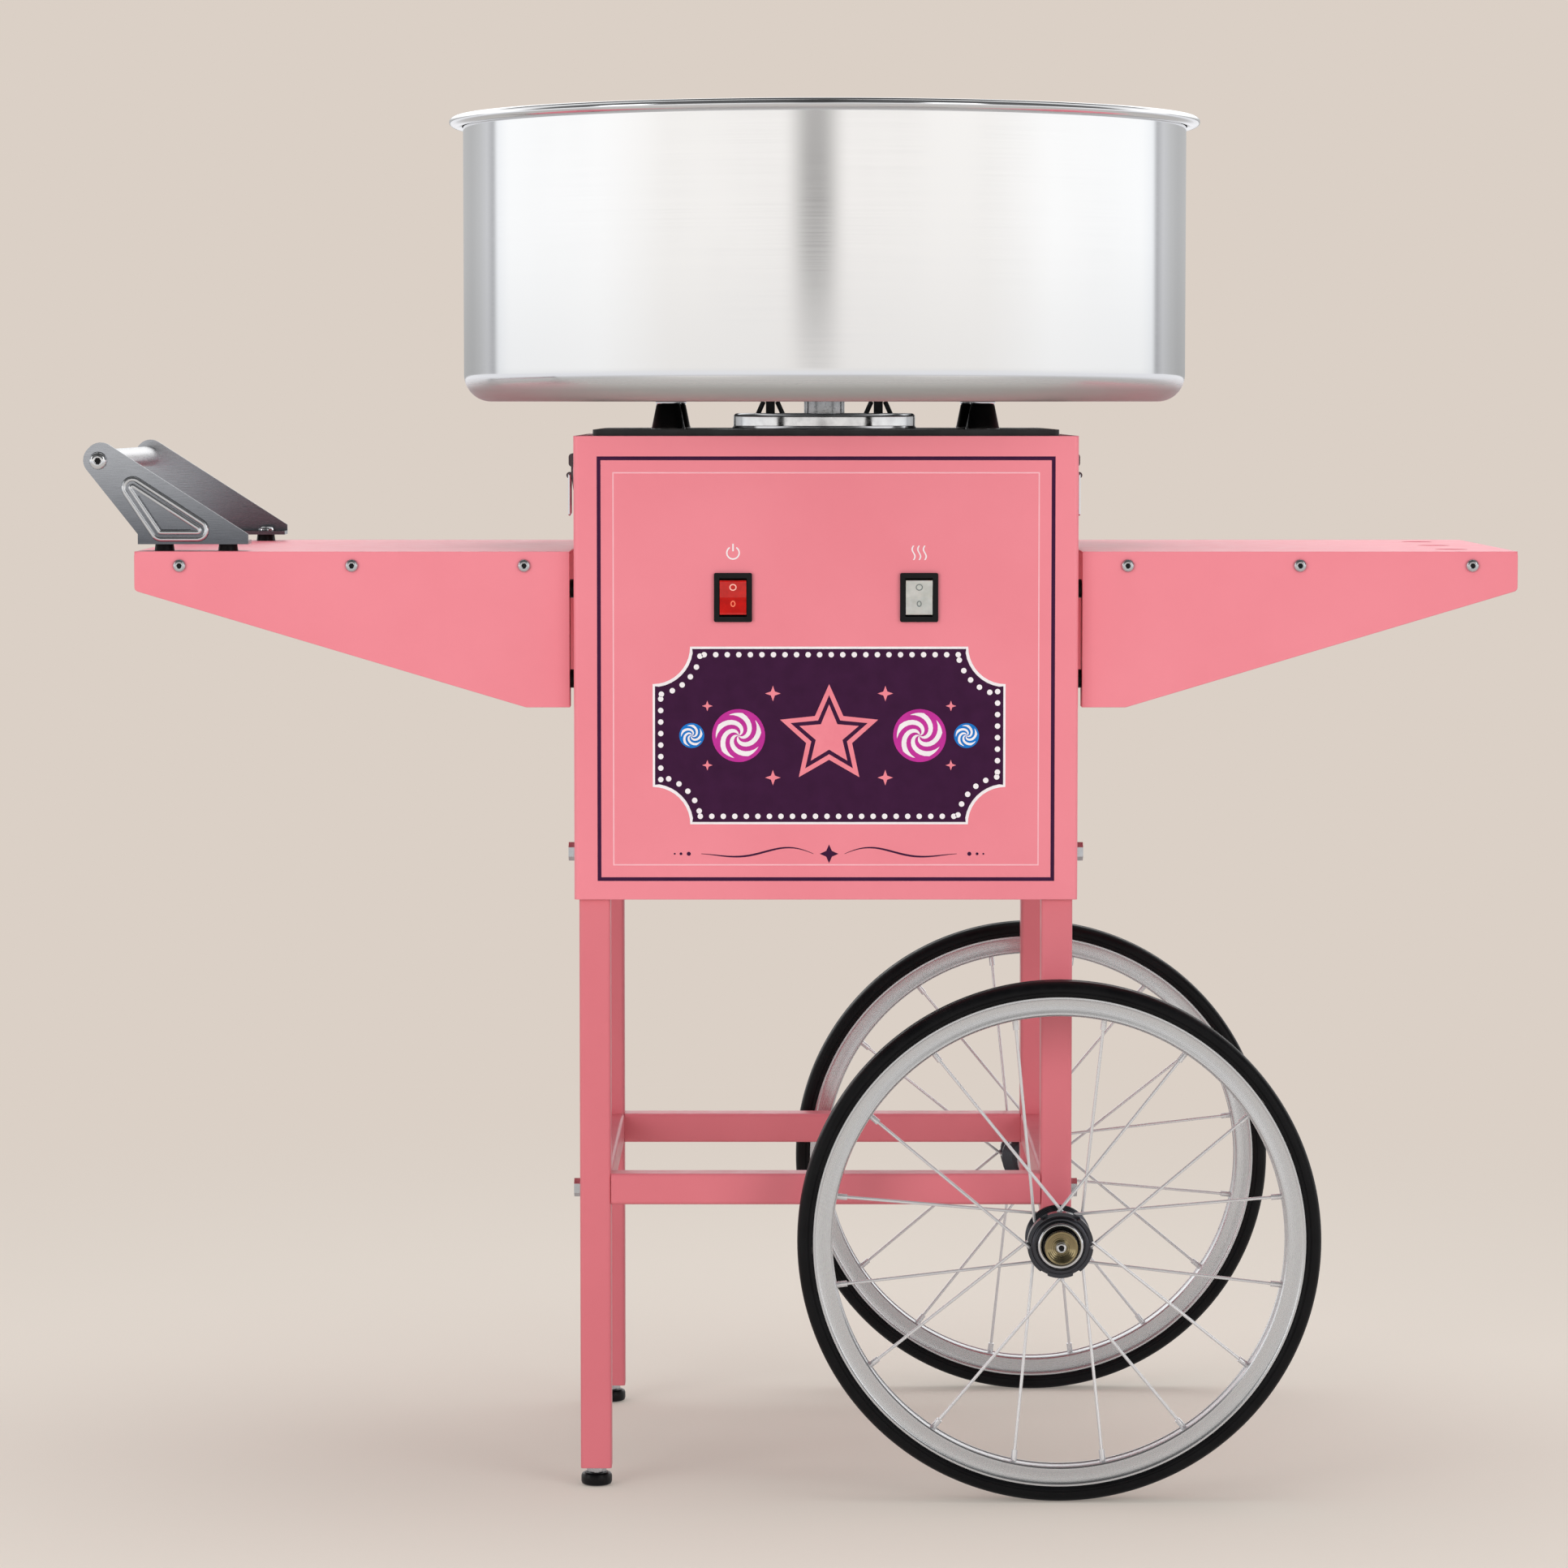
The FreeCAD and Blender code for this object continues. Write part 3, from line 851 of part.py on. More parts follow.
def handle():
    """Tube grip between two pressed brackets that stand on rubber pads at the shelf's outer end."""
    near = "handle_overhang + handle_foot_near"
    base = "0 - (handle_rise - pad_height)"
    for end, way in ENDS:
        bracket = body(f"handle_bracket_{end}_body")
        plate = sketch_on(bracket, "XZ_Plane")
        outline(plate, [
            ("0 - handle_end * 1.287", "handle_end * 0.089", "handle_end"), (near, f"{base} + handle_foot_height"),
            (near, base), (f"{near} + handle_foot", base), (f"{near} + handle_foot", f"{base} + handle_foot_height"),
            ("0", "handle_end * 1.465", "handle_end")])
        circle(plate, "0", "0", "grip_screw + run_gap")
        grow(bracket, "Pad", plate, "handle_sheet", Reversed=way < 0)
        bead = sketch_on(bracket, "XZ_Plane")
        for swell in (1, -1):
            outline(bead, [(f"bead_x + {x} * (1 + {swell} * bead_width / 2 / bead_inset)",
                            f"0 - bead_drop + {z} * (1 + {swell} * bead_width / 2 / bead_inset)",
                            f"bead_width / 2 + {swell} * bead_round") for x, z in BEAD])
        grow(bracket, "Pad", bead, "bead_rise", Reversed=way > 0)
        foot = sketch_on(bracket, "XY_Plane", base)
        rectangle(foot, f"{near} + handle_foot / 2", f"0 - {way} * handle_flange / 2", "handle_foot", "handle_flange")
        for k in (0, 1):
            circle(foot, f"{near} + handle_bolt_x + {k} * handle_bolt_span", f"0 - {way} * handle_flange / 2",
                   "bolt_radius + run_gap")
        grow(bracket, "Pad", foot, "handle_sheet")
        pivot = ("mid_x - handle_pivot_x", f"{way} * handle_y", "shelf_level + handle_rise")
        gather("handle_brackets", place(bracket, *pivot))
        screw = button_screw(f"grip_screw_{end}", "grip_screw", "grip_head", "grip_dome", "grip_screw_reach")
        gather("handle_screws", place(screw, *pivot, (1, 0, 0), -way * 90))
    grip = turned("grip_body", [
        ("grip_screw + seat_gap", "0"), ("grip_radius", "0"), ("grip_radius", "2 * (handle_y - handle_sheet)"),
        ("grip_screw + seat_gap", "2 * (handle_y - handle_sheet)")])
    place(node(grip, "handle_grip"), "mid_x - handle_pivot_x", "handle_y - handle_sheet", "shelf_level + handle_rise",
          (1, 0, 0), 90)
    for index, (x, y) in enumerate(handle_bolt_spots()):
        spot = (f"mid_x - shelf_reach + {x}", y)
        bolt = button_screw(f"handle_bolt_{index}", "bolt_radius", "handle_bolt_head", "handle_bolt_dome",
                            "handle_sheet + pad_height + sheet + bolt_tail")
        gather("handle_screws", place(bolt, *spot, "handle_base + handle_sheet"))
        pad = turned(f"handle_pad_{index}", [
            ("bolt_radius + run_gap", "0"), ("pad_radius", "0"), ("pad_radius - pad_taper", "pad_height"),
            ("bolt_radius + run_gap", "pad_height")])
        gather("handle_pads", place(pad, *spot, "shelf_level"))


def latch(side, way):
    """Draw latch on the cabinet's side wall: riveted base, swinging lever and its wire bail."""
    root = f"mid_x + {way} * cabinet_width / 2"
    off = "latch_ear / 2"
    base = body(f"{side}_latch_base_body")
    back = sketch_on(base, "YZ_Plane")
    rectangle(back, "0", "0 - latch_ear / 2", "latch_width", "3 * latch_ear", "latch_corner")
    grow(base, "Pad", back, "latch_plate", Reversed=way < 0)
    for k in (-1, 1):
        ear = sketch_on(base, "XZ_Plane", f"{k} * (latch_width - latch_plate) / 2")
        outline(ear, [("0", f"0 - {off}"), (f"{way} * latch_ear", f"0 - {off}", "ear_round"),
                      (f"{way} * latch_ear", off, "ear_round"), ("0", off)])
        grow(base, "Pad", ear, "latch_plate", Midplane=True)
    pin = sketch_on(base, "XZ_Plane")
    circle(pin, f"{way} * {off}", "0", "latch_pin")
    grow(base, "Pad", pin, "latch_width + 2 * rivet_proud", Midplane=True)
    gather("latch_bases", place(base, root, "0", "latch_z"))
    lever = body(f"{side}_latch_lever_body")
    width = "latch_width - 2 * latch_plate - 2 * fit_gap"
    strip = sketch_on(lever, "XZ_Plane")
    outline(strip, [
        (f"{way} * curl", "0"), (f"{way} * curl", "0 - bail_pivot", "lever_curl"),
        (f"{way} * lever_lift", "0 - lever_length + lever_curl", "lever_round"),
        (f"{way} * (lever_lift + lever_sheet)", "0 - lever_length"), (f"{way} * lever_lift", "0 - lever_length"),
        (f"{way} * (lever_lift - lever_sheet)", "0 - lever_length + lever_curl", "lever_round"),
        (f"{way} * (curl - lever_sheet)", "0 - bail_pivot", "lever_curl"), (f"{way} * (curl - lever_sheet)", "0")])
    grow(lever, "Pad", strip, width, Midplane=True)
    roll = sketch_on(lever, "XZ_Plane")
    circle(roll, "0", "0", "curl")
    circle(roll, "0", "0", "latch_pin + run_gap")
    grow(lever, "Pad", roll, width, Midplane=True)
    knuckle = sketch_on(lever, "XZ_Plane")
    circle(knuckle, f"{way} * (curl + bail_wire)", "0 - bail_pivot", "bail_wire + knuckle_wall")
    grow(lever, "Pad", knuckle, width, Midplane=True)
    bore = sketch_on(lever, "XZ_Plane")
    circle(bore, f"{way} * (curl + bail_wire)", "0 - bail_pivot", "bail_wire + run_gap")
    cut_through(lever, bore)
    place(node(lever, f"{side}_latch_lever"), f"{root} + {way} * {off}", "0", "latch_z")
    half = "(latch_width / 2 - latch_plate + bail_wire)"
    bars = []
    for name, level in (("top", "0"), ("foot", "0 - bail_length")):
        bar = cylinder(f"{side}_bail_{name}", "bail_wire", f"2 * {half}")
        bars.append(place(bar, "0", f"0 - {half}", level, (1, 0, 0), -90))
    for k in (-1, 1):
        leg = cylinder(f"{side}_bail_leg_{k}", "bail_wire", "bail_length")
        bars.append(place(leg, "0", f"{k} * {half}", "0 - bail_length"))
        for level in ("0", "0 - bail_length"):
            bend = doc.addObject("Part::Sphere", f"{side}_bail_bend")
            bind(bend, "Radius", "bail_wire")
            bars.append(place(bend, "0", f"{k} * {half}", level))
    place(node(join(f"{side}_bail_whole", bars), f"{side}_latch_bail"),
          f"{root} + {way} * ({off} + curl + bail_wire)", "0", "latch_z - bail_pivot")


def build():
    cabinet_shell()
    floor_plate()
    rear_cover()
    power_inlet()
    rocker_switch("power", -1)
    rocker_switch("heat", 1)
    top_plate()
    floss_head()
    motor_bracket()
    brushes()
    bowl()
    bowl_posts()
    legs_and_feet()
    rails()
    wheels()
    for side, way in SIDES:
        shelf(side, way)
        latch(side, way)
    handle()
    write_groups()


def check_and_write():
    """Stop on any failed object or unsound solid, then write one file for each piece."""
    doc.recompute()
    for item in doc.Objects:
        if {"Invalid", "Error"} & set(item.State):
            raise SystemExit(f"{item.Name} ({item.Label}) failed: {item.State}")
    for item in NODES:
        if item.Shape.isNull() or not item.Shape.isValid() or not item.Shape.Solids:
            raise SystemExit(f"{item.Label} has no sound solid")
    os.makedirs("parts", exist_ok=True)
    for item in NODES:
        item.Shape.exportStep(f"parts/{item.Label}.step")
    print(len(NODES), "pieces written")


build()
check_and_write()
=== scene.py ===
import math
import bpy
from mathutils import Matrix, Vector


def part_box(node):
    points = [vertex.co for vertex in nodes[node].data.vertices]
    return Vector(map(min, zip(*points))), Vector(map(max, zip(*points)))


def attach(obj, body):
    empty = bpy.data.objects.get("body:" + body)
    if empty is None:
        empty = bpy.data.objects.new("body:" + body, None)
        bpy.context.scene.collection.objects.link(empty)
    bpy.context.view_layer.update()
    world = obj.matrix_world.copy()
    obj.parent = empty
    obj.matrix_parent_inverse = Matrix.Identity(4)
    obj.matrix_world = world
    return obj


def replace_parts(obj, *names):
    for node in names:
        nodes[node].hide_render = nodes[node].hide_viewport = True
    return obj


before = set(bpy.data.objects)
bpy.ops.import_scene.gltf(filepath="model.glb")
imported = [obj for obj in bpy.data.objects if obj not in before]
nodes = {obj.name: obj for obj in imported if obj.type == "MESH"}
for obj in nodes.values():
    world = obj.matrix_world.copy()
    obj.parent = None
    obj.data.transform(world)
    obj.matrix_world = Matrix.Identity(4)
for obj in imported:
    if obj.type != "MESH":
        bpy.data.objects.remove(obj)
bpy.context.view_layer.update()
scene = bpy.context.scene
mm = 0.001
print("frame loaded:", len(nodes), "nodes")


def toLinear(code):
    # sRGB hex colour to the linear one that shaders take
    parts = [int(code[i:i + 2], 16) / 255 for i in (1, 3, 5)]
    return tuple(c / 12.92 if c <= 0.04045 else ((c + 0.055) / 1.055) ** 2.4 for c in parts) + (1.0,)


def addNode(tree, kind, inputs=(), **settings):
    # inputs go by name, or in order; a node given as an input stands for its first output
    node = tree.nodes.new("ShaderNode" + kind)
    for name, value in settings.items():
        setattr(node, name, value)
    for name, value in inputs.items() if isinstance(inputs, dict) else enumerate(inputs):
        if isinstance(value, bpy.types.Node):
            value = value.outputs[0]
        if isinstance(value, bpy.types.NodeSocket):
            tree.links.new(value, node.inputs[name])
        else:
            node.inputs[name].default_value = value
    return node


def startMaterial(name, colour, roughness, metallic=0.0, **extra):
    # returns the material, its tree and shader, and the object's own coordinates for patterns in metres
    material = bpy.data.materials.new(name)
    material.use_nodes = True
    tree = material.node_tree
    shader = tree.nodes["Principled BSDF"]
    values = {"Base_Color": toLinear(colour), "Roughness": roughness, "Metallic": metallic, **extra}
    for socket, value in values.items():
        shader.inputs[socket.replace("_", " ")].default_value = value
    return material, tree, shader, addNode(tree, "TexCoord").outputs["Object"]


fullRange, noiseRange = (0, 1), (0.3, 0.7)   # most of a noise pattern's values lie in the second
waveLength = 0.314   # metres between the rings of a wave pattern at scale 1


def dress(tree, shader, tone=None, gloss=None, relief=None):
    # lays patterns on a surface: tone mixes two colours, gloss spreads the roughness, relief bumps it
    made = {}
    if tone:
        share, first, second = tone
        colours = {0: share, 6: toLinear(first), 7: toLinear(second)}
        made["Base Color"] = addNode(tree, "Mix", colours, data_type="RGBA").outputs[2]
    if gloss:
        pattern, span, low, high = gloss
        made["Roughness"] = addNode(tree, "MapRange", (pattern, *span, low, high)).outputs[0]
    if relief:
        made["Normal"] = addNode(tree, "Bump", relief).outputs[0]
    for socket, output in made.items():
        tree.links.new(output, shader.inputs[socket])


def pinkPowderCoat(name, colour, other):
    # polyester powder coat on steel: satin gloss, faint orange peel, softened edges
    paint = {"roughness": 0.36, "gloss": (0.32, 0.42), "patch": 90 * mm, "dust": 14 * mm, "edge": 0.7 * mm,
             "peel": 1.4 * mm, "peelDepth": 0.02 * mm}
    material, tree, shader, place = startMaterial(name, colour, paint["roughness"])
    patch = addNode(tree, "TexNoise", {"Vector": place, "Scale": 1 / paint["patch"], "Detail": 4})
    dust = addNode(tree, "TexNoise", {"Vector": place, "Scale": 1 / paint["dust"], "Detail": 6, "Roughness": 0.65})
    peel = addNode(tree, "TexNoise", {"Vector": place, "Scale": 1 / paint["peel"], "Detail": 1})
    dress(tree, shader,
          tone=(addNode(tree, "MapRange", (patch, *noiseRange)), colour, other),
          gloss=(dust, noiseRange, *paint["gloss"]),
          relief={"Height": peel, "Distance": paint["peelDepth"], "Strength": 0.5,
                  "Normal": addNode(tree, "Bevel", {"Radius": paint["edge"]}, samples=4)})
    return material


def spunStainless():
    # 201 stainless spun into a bowl: bright, with fine rings left by the spinning tool
    steel = {"colour": "#DFE0E2", "roughness": 0.09, "gloss": (0.07, 0.13),
             "ring": 0.9 * mm, "ringLong": 160, "ringDepth": 0.003 * mm, "smear": 45 * mm, "smearLong": 2.5,
             # corner is the grey painted into the bowl's lower corner as shade
             "corner": "#9C9D9C", "paintedShadeShare": 0.88, "cornerDull": 0.3, "from": 0.7085, "to": 0.7170}
    material, tree, shader, place = startMaterial("spunStainless", steel["colour"], steel["roughness"], 1.0)
    # rings run round the bowl; smears of polish run up its wall
    along = addNode(tree, "Mapping", {"Vector": place, "Scale": (1 / steel["ringLong"], 1 / steel["ringLong"], 1)})
    rings = addNode(tree, "TexNoise", {"Vector": along, "Scale": 1 / steel["ring"], "Detail": 3, "Roughness": 0.6})
    up = addNode(tree, "Mapping", {"Vector": place, "Scale": (1, 1, 1 / steel["smearLong"])})
    smear = addNode(tree, "TexNoise", {"Vector": up, "Scale": 1 / steel["smear"], "Detail": 5})
    mixed = addNode(tree, "Math", (rings, smear), operation="MULTIPLY")
    shine = addNode(tree, "MapRange", (mixed, 0.1, 0.45, *steel["gloss"]))
    # the corner under the wall is painted shade: a darker grey, less of a mirror, and duller
    height = addNode(tree, "SeparateXYZ", (place,)).outputs["Z"]
    corner = addNode(tree, "MapRange", (height, steel["from"], steel["to"], 1, 0))
    dull = addNode(tree, "Math", (corner, steel["cornerDull"], shine), operation="MULTIPLY_ADD")
    bare = addNode(tree, "Math", (corner, -steel["paintedShadeShare"], 1.0), operation="MULTIPLY_ADD")
    tree.links.new(dull.outputs[0], shader.inputs["Roughness"])
    tree.links.new(bare.outputs[0], shader.inputs["Metallic"])
    dress(tree, shader, tone=(corner, steel["colour"], steel["corner"]),
          relief={"Height": rings, "Distance": steel["ringDepth"], "Strength": 0.2})
    return material


def brushedMetal(name, colour, roughness, grain, stretch, depth=0.006 * mm):
    # metal dressed with a belt or tool: short scratches along one direction
    material, tree, shader, place = startMaterial(name, colour, roughness, 1.0)
    along = addNode(tree, "Mapping", {"Vector": place, "Scale": tuple(1 / s for s in stretch)})
    lines = addNode(tree, "TexNoise", {"Vector": along, "Scale": 1 / grain, "Detail": 4, "Roughness": 0.65})
    dress(tree, shader, gloss=(lines, noiseRange, roughness - 0.07, roughness + 0.10),
          relief={"Height": lines, "Distance": depth, "Strength": 0.5})
    return material


def turnedMetal(name, colour, roughness, centre, axis, pitch, depth=0.008 * mm):
    # metal faced on a lathe: fine rings about the turning axis
    material, tree, shader, place = startMaterial(name, colour, roughness, 1.0)
    about = addNode(tree, "Mapping", {"Vector": place, "Location": tuple(-c for c in centre)})
    waves = {"Vector": about, "Scale": waveLength / pitch, "Distortion": 1.2, "Detail": 2.0, "Detail Scale": 1.5}
    rings = addNode(tree, "TexWave", waves, wave_type="RINGS", rings_direction=axis).outputs["Fac"]
    dress(tree, shader, gloss=(rings, fullRange, roughness - 0.05, roughness + 0.07),
          relief={"Height": rings, "Distance": depth, "Strength": 0.4})
    return material


def platedMetal(name, colour, roughness, mottle=3 * mm, metallic=1.0):
    # bright plating over pressed steel: near mirror with faint mottling
    material, tree, shader, place = startMaterial(name, colour, roughness, metallic)
    cloud = addNode(tree, "TexNoise", {"Vector": place, "Scale": 1 / mottle, "Detail": 4})
    dress(tree, shader, gloss=(cloud, noiseRange, max(roughness - 0.03, 0.02), roughness + 0.06),
          relief={"Height": cloud, "Distance": 0.01 * mm, "Strength": 0.12})
    return material


def shadedBracketSheet():
    # cold rolled steel, brushed upward: bright at the top, with shade painted in darker toward the foot
    # top is the lit colour and foot the painted shade toward the foot
    sheet = {"top": "#B9BCC1", "foot": "#6C6F75", "roughness": 0.24, "grain": 0.35 * mm, "low": 0.612, "high": 0.668}
    material = brushedMetal("rolledSteelSheetShaded", sheet["top"], sheet["roughness"], sheet["grain"], (30, 30, 1),
                            0.001 * mm)
    tree = material.node_tree
    height = addNode(tree, "SeparateXYZ", (addNode(tree, "TexCoord").outputs["Object"],)).outputs["Z"]
    rise = addNode(tree, "MapRange", (height, sheet["low"], sheet["high"]))
    dress(tree, tree.nodes["Principled BSDF"], tone=(rise, sheet["foot"], sheet["top"]))
    return material


def galvanisedSheet():
    # hot dip galvanised steel: grey spangles of about 8 mm
    zinc = {"colour": "#9DA1A4", "dark": "#8D9194", "light": "#ABAFB2", "roughness": (0.34, 0.5), "spangle": 8 * mm}
    material, tree, shader, place = startMaterial("galvanisedSheet", zinc["colour"], 0.42, 1.0)
    cells = addNode(tree, "TexVoronoi", {"Vector": place, "Scale": 1 / zinc["spangle"]}).outputs["Color"]
    tone = addNode(tree, "SeparateColor", (cells,)).outputs[0]
    dress(tree, shader, tone=(tone, zinc["dark"], zinc["light"]), gloss=(tone, fullRange, *zinc["roughness"]))
    return material


def darkPaint(name, colour, roughness, grain, shine=0.5):
    # black paint or moulded plastic with a fine even texture
    material, tree, shader, place = startMaterial(name, colour, roughness, Specular_IOR_Level=shine)
    smudge = addNode(tree, "TexNoise", {"Vector": place, "Scale": 1 / (12 * mm), "Detail": 5})
    speck = addNode(tree, "TexNoise", {"Vector": place, "Scale": 1 / grain, "Detail": 2})
    dress(tree, shader, gloss=(smudge, noiseRange, roughness - 0.05, roughness + 0.08),
          relief={"Height": speck, "Distance": 0.03 * mm, "Strength": 0.4})
    return material


def mouldedRubber(name, colour, roughness, grain):
    # carbon black rubber: dark and matt, a soft sheen where it faces the light
    dusty = {"colour": "#121214", "size": 18 * mm, "range": (0.35, 0.75), "shine": 0.16}
    material, tree, shader, place = startMaterial(name, colour, roughness, Specular_IOR_Level=dusty["shine"])
    cloud = addNode(tree, "TexNoise", {"Vector": place, "Scale": 1 / dusty["size"], "Detail": 6, "Roughness": 0.6})
    dust = addNode(tree, "MapRange", (cloud, *dusty["range"]))
    speck = addNode(tree, "TexNoise", {"Vector": place, "Scale": 1 / grain, "Detail": 2})
    dress(tree, shader, tone=(dust, colour, dusty["colour"]),
          gloss=(dust, fullRange, roughness - 0.06, roughness + 0.1),
          relief={"Height": speck, "Distance": 0.04 * mm, "Strength": 0.35})
    return material


def glossyPlastic(name, colour, deep, roughness):
    # tinted polycarbonate, moulded glossy: a hard highlight and a little depth
    material, tree, shader, place = startMaterial(name, colour, roughness, Subsurface_Weight=0.12,
                                                  Subsurface_Scale=2 * mm, Coat_Weight=0.25, Coat_Roughness=0.08)
    cloud = addNode(tree, "TexNoise", {"Vector": place, "Scale": 1 / (6 * mm), "Detail": 3})
    ripple = addNode(tree, "TexNoise", {"Vector": place, "Scale": 1 / (0.8 * mm), "Detail": 1})
    dress(tree, shader, tone=(addNode(tree, "MapRange", (cloud, *noiseRange)), colour, deep),
          relief={"Height": ripple, "Distance": 0.01 * mm, "Strength": 0.15})
    return material


def screenInk(name, colour, other):
    # screen printed vinyl ink: flat colour, faint uneven gloss
    ink = {"roughness": (0.36, 0.48), "shine": 0.2, "cloud": 10 * mm, "speck": 0.5 * mm}
    material, tree, shader, place = startMaterial(name, colour, 0.42, Specular_IOR_Level=ink["shine"])
    noise = addNode(tree, "TexNoise", {"Vector": place, "Scale": 1 / ink["cloud"], "Detail": 4})
    cloud = addNode(tree, "MapRange", (noise, *noiseRange))
    speck = addNode(tree, "TexNoise", {"Vector": place, "Scale": 1 / ink["speck"], "Detail": 1})
    dress(tree, shader, tone=(cloud, colour, other), gloss=(cloud, fullRange, *ink["roughness"]),
          relief={"Height": speck, "Distance": 0.004 * mm, "Strength": 0.3})
    return material


wheelCentre = (0.1655, 0.0, 0.167)
headCentre = (0.017, 0.0, 0.0)
finishes = {
    "pink": pinkPowderCoat("pinkPowderCoatSheet", "#EE8996", "#EA8390"),
    # the tubes take a darker copy of the same powder coat: painted shade
    "pinkTubeShaded": pinkPowderCoat("pinkPowderCoatTubeShaded", "#DD7681", "#D7707B"),
    "bowlSteel": spunStainless(),
    "galvanised": galvanisedSheet(),
    "chrome": platedMetal("chromePlate", "#D9DADC", 0.07),
    "zinc": platedMetal("zincPlate", "#C9CBCE", 0.22, 2 * mm),
    "spokes": platedMetal("drawnSteelWire", "#E2E2E4", 0.20, 4 * mm, 0.6),
    "bracketSteel": shadedBracketSheet(),
    "beadSteel": platedMetal("pressedBeadSteel", "#D6D8DB", 0.16, 3 * mm),
    "domeSteel": platedMetal("spunDomeSteel", "#D6D7D9", 0.13, 5 * mm),
    "bandSteel": brushedMetal("perforatedBandSteel", "#B9B9BC", 0.28, 0.4 * mm, (20, 20, 1)),
    "gripAluminium": brushedMetal("anodisedTube", "#E4E5E7", 0.30, 0.5 * mm, (1, 30, 1)),
    "rimAluminium": turnedMetal("rolledAluminiumRim", "#DADBDD", 0.30, wheelCentre, "Y", 1.1 * mm),
    "headAluminium": turnedMetal("turnedAluminium", "#CFD0D2", 0.24, headCentre, "Z", 0.7 * mm),
    "latchSteel": platedMetal("blackNickelPlate", "#55494C", 0.16),
    "hubSteel": turnedMetal("blackNickelHub", "#4A4B50", 0.22, wheelCentre, "Y", 0.8 * mm),
    "hubBrass": turnedMetal("turnedBrass", "#9C8E6C", 0.20, wheelCentre, "Y", 1.2 * mm, 0.12 * mm),
    # the top plate is made near black
    "deck": darkPaint("nearBlackDeck", "#17171A", 0.34, 0.7 * mm),
    "motor": darkPaint("motorEnamel", "#18181B", 0.40, 0.9 * mm),
    "plastic": darkPaint("blackNylon", "#08080A", 0.34, 0.4 * mm, 0.25),
    "rubber": mouldedRubber("bufferRubber", "#111113", 0.38, 0.6 * mm),
    "tyre": mouldedRubber("tyreRubber", "#08080A", 0.42, 0.8 * mm),
    "glossBlack": darkPaint("glossBlackAbs", "#050506", 0.12, 1.5 * mm),
    "markRed": screenInk("orangeMark", "#FF8A6A", "#F57C5C"),
    "markPale": screenInk("paleMark", "#FFC9BC", "#F7BDB0"),
    "markGrey": screenInk("greyMark", "#7F8584", "#757B7A"),
    "redPlastic": glossyPlastic("redPolycarbonate", "#CF120A", "#AD0C06", 0.2),
    "greyPlastic": glossyPlastic("greyPolycarbonate", "#C9CAC6", "#B6B8B4", 0.25),
    "purpleInk": screenInk("purpleInk", "#3A0E38", "#340B32"),
    "whiteInk": screenInk("whiteInk", "#F4EFF2", "#ECE6EA"),
    "paleInk": screenInk("palePinkInk", "#F7BFC8", "#F4B8C2"),
    "pinkInk": screenInk("pinkInk", "#EF8A97", "#E9818F"),
    "magentaInk": screenInk("magentaInk", "#C4329B", "#B62A8F"),
    "blueInk": screenInk("blueInk", "#1278CE", "#0F6DBE"),
}
nodeFinish = {
    "pink": "cabinet_shell rear_cover left_shelf_top right_shelf_top left_aprons right_aprons",
    "pinkTubeShaded": "leg_front_left leg_front_right leg_rear_left leg_rear_right rail_front rail_rear rail_left rail_right",
    "galvanised": "floor_plate motor_bracket",
    "deck": "top_plate",
    "bowlSteel": "bowl",
    "chrome": "dome_cover left_latch_bail right_latch_bail",
    "latchSteel": "latch_bases left_latch_lever right_latch_lever",
    "headAluminium": "slip_rings head_base head_cover",
    "rimAluminium": "front_rim rear_rim",
    "hubSteel": "front_hub rear_hub",
    "bandSteel": "head_band heater_ribbon",
    "zinc": "head_nut hex_bolts panel_screws handle_screws axle hub_spacers drive_shaft",
    "spokes": "front_spokes rear_spokes",
    "hubBrass": "front_hub_cap rear_hub_cap",
    "bracketSteel": "handle_brackets",
    "gripAluminium": "handle_grip",
    "motor": "motor",
    "rubber": "bowl_posts handle_pads mount_spacers",
    "tyre": "front_tyre rear_tyre",
    "plastic": "switch_frames power_inlet foot_front foot_rear tube_plugs brush_holders",
    "redPlastic": "power_rocker",
    "greyPlastic": "heat_rocker",
}
for finish, names in nodeFinish.items():
    for name in names.split():
        mesh = nodes[name].data
        if not mesh.materials:
            mesh.materials.append(finishes[finish])
        for slot in nodes[name].material_slots:
            slot.material = finishes[finish]
print("finishes:", len(finishes))

frontPlane = Matrix(((1, 0, 0, 0), (0, 0, -1, 0), (0, 1, 0, 0), (0, 0, 0, 1)))   # drawing x, y to x, z, facing -Y
ends = (("front", -1), ("rear", 1))   # each end of the cart and its sign along Y


def addPiece(name, mesh, body, finish, smooth=35):
    # shows a mesh as a piece; edges sharper than smooth degrees stay crisp
    mesh.name = name
    piece = bpy.data.objects.new(name, mesh)
    scene.collection.objects.link(piece)
    mesh.materials.clear()
    mesh.materials.append(finishes[finish])
    mesh.shade_smooth()
    mesh.set_sharp_from_angle(angle=math.radians(smooth))
    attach(piece, body)
    return piece


def makeMesh(points, faces, matrix=Matrix()):
    mesh = bpy.data.meshes.new("mesh")
    mesh.from_pydata(points, [], faces)
    mesh.validate()
    mesh.transform(matrix)
    return mesh


def arc(cx, cy, radius, start, stop, steps=8):
    return [(cx + radius * math.cos(math.radians(start + (stop - start) * k / steps)),
             cy + radius * math.sin(math.radians(start + (stop - start) * k / steps))) for k in range(steps + 1)]


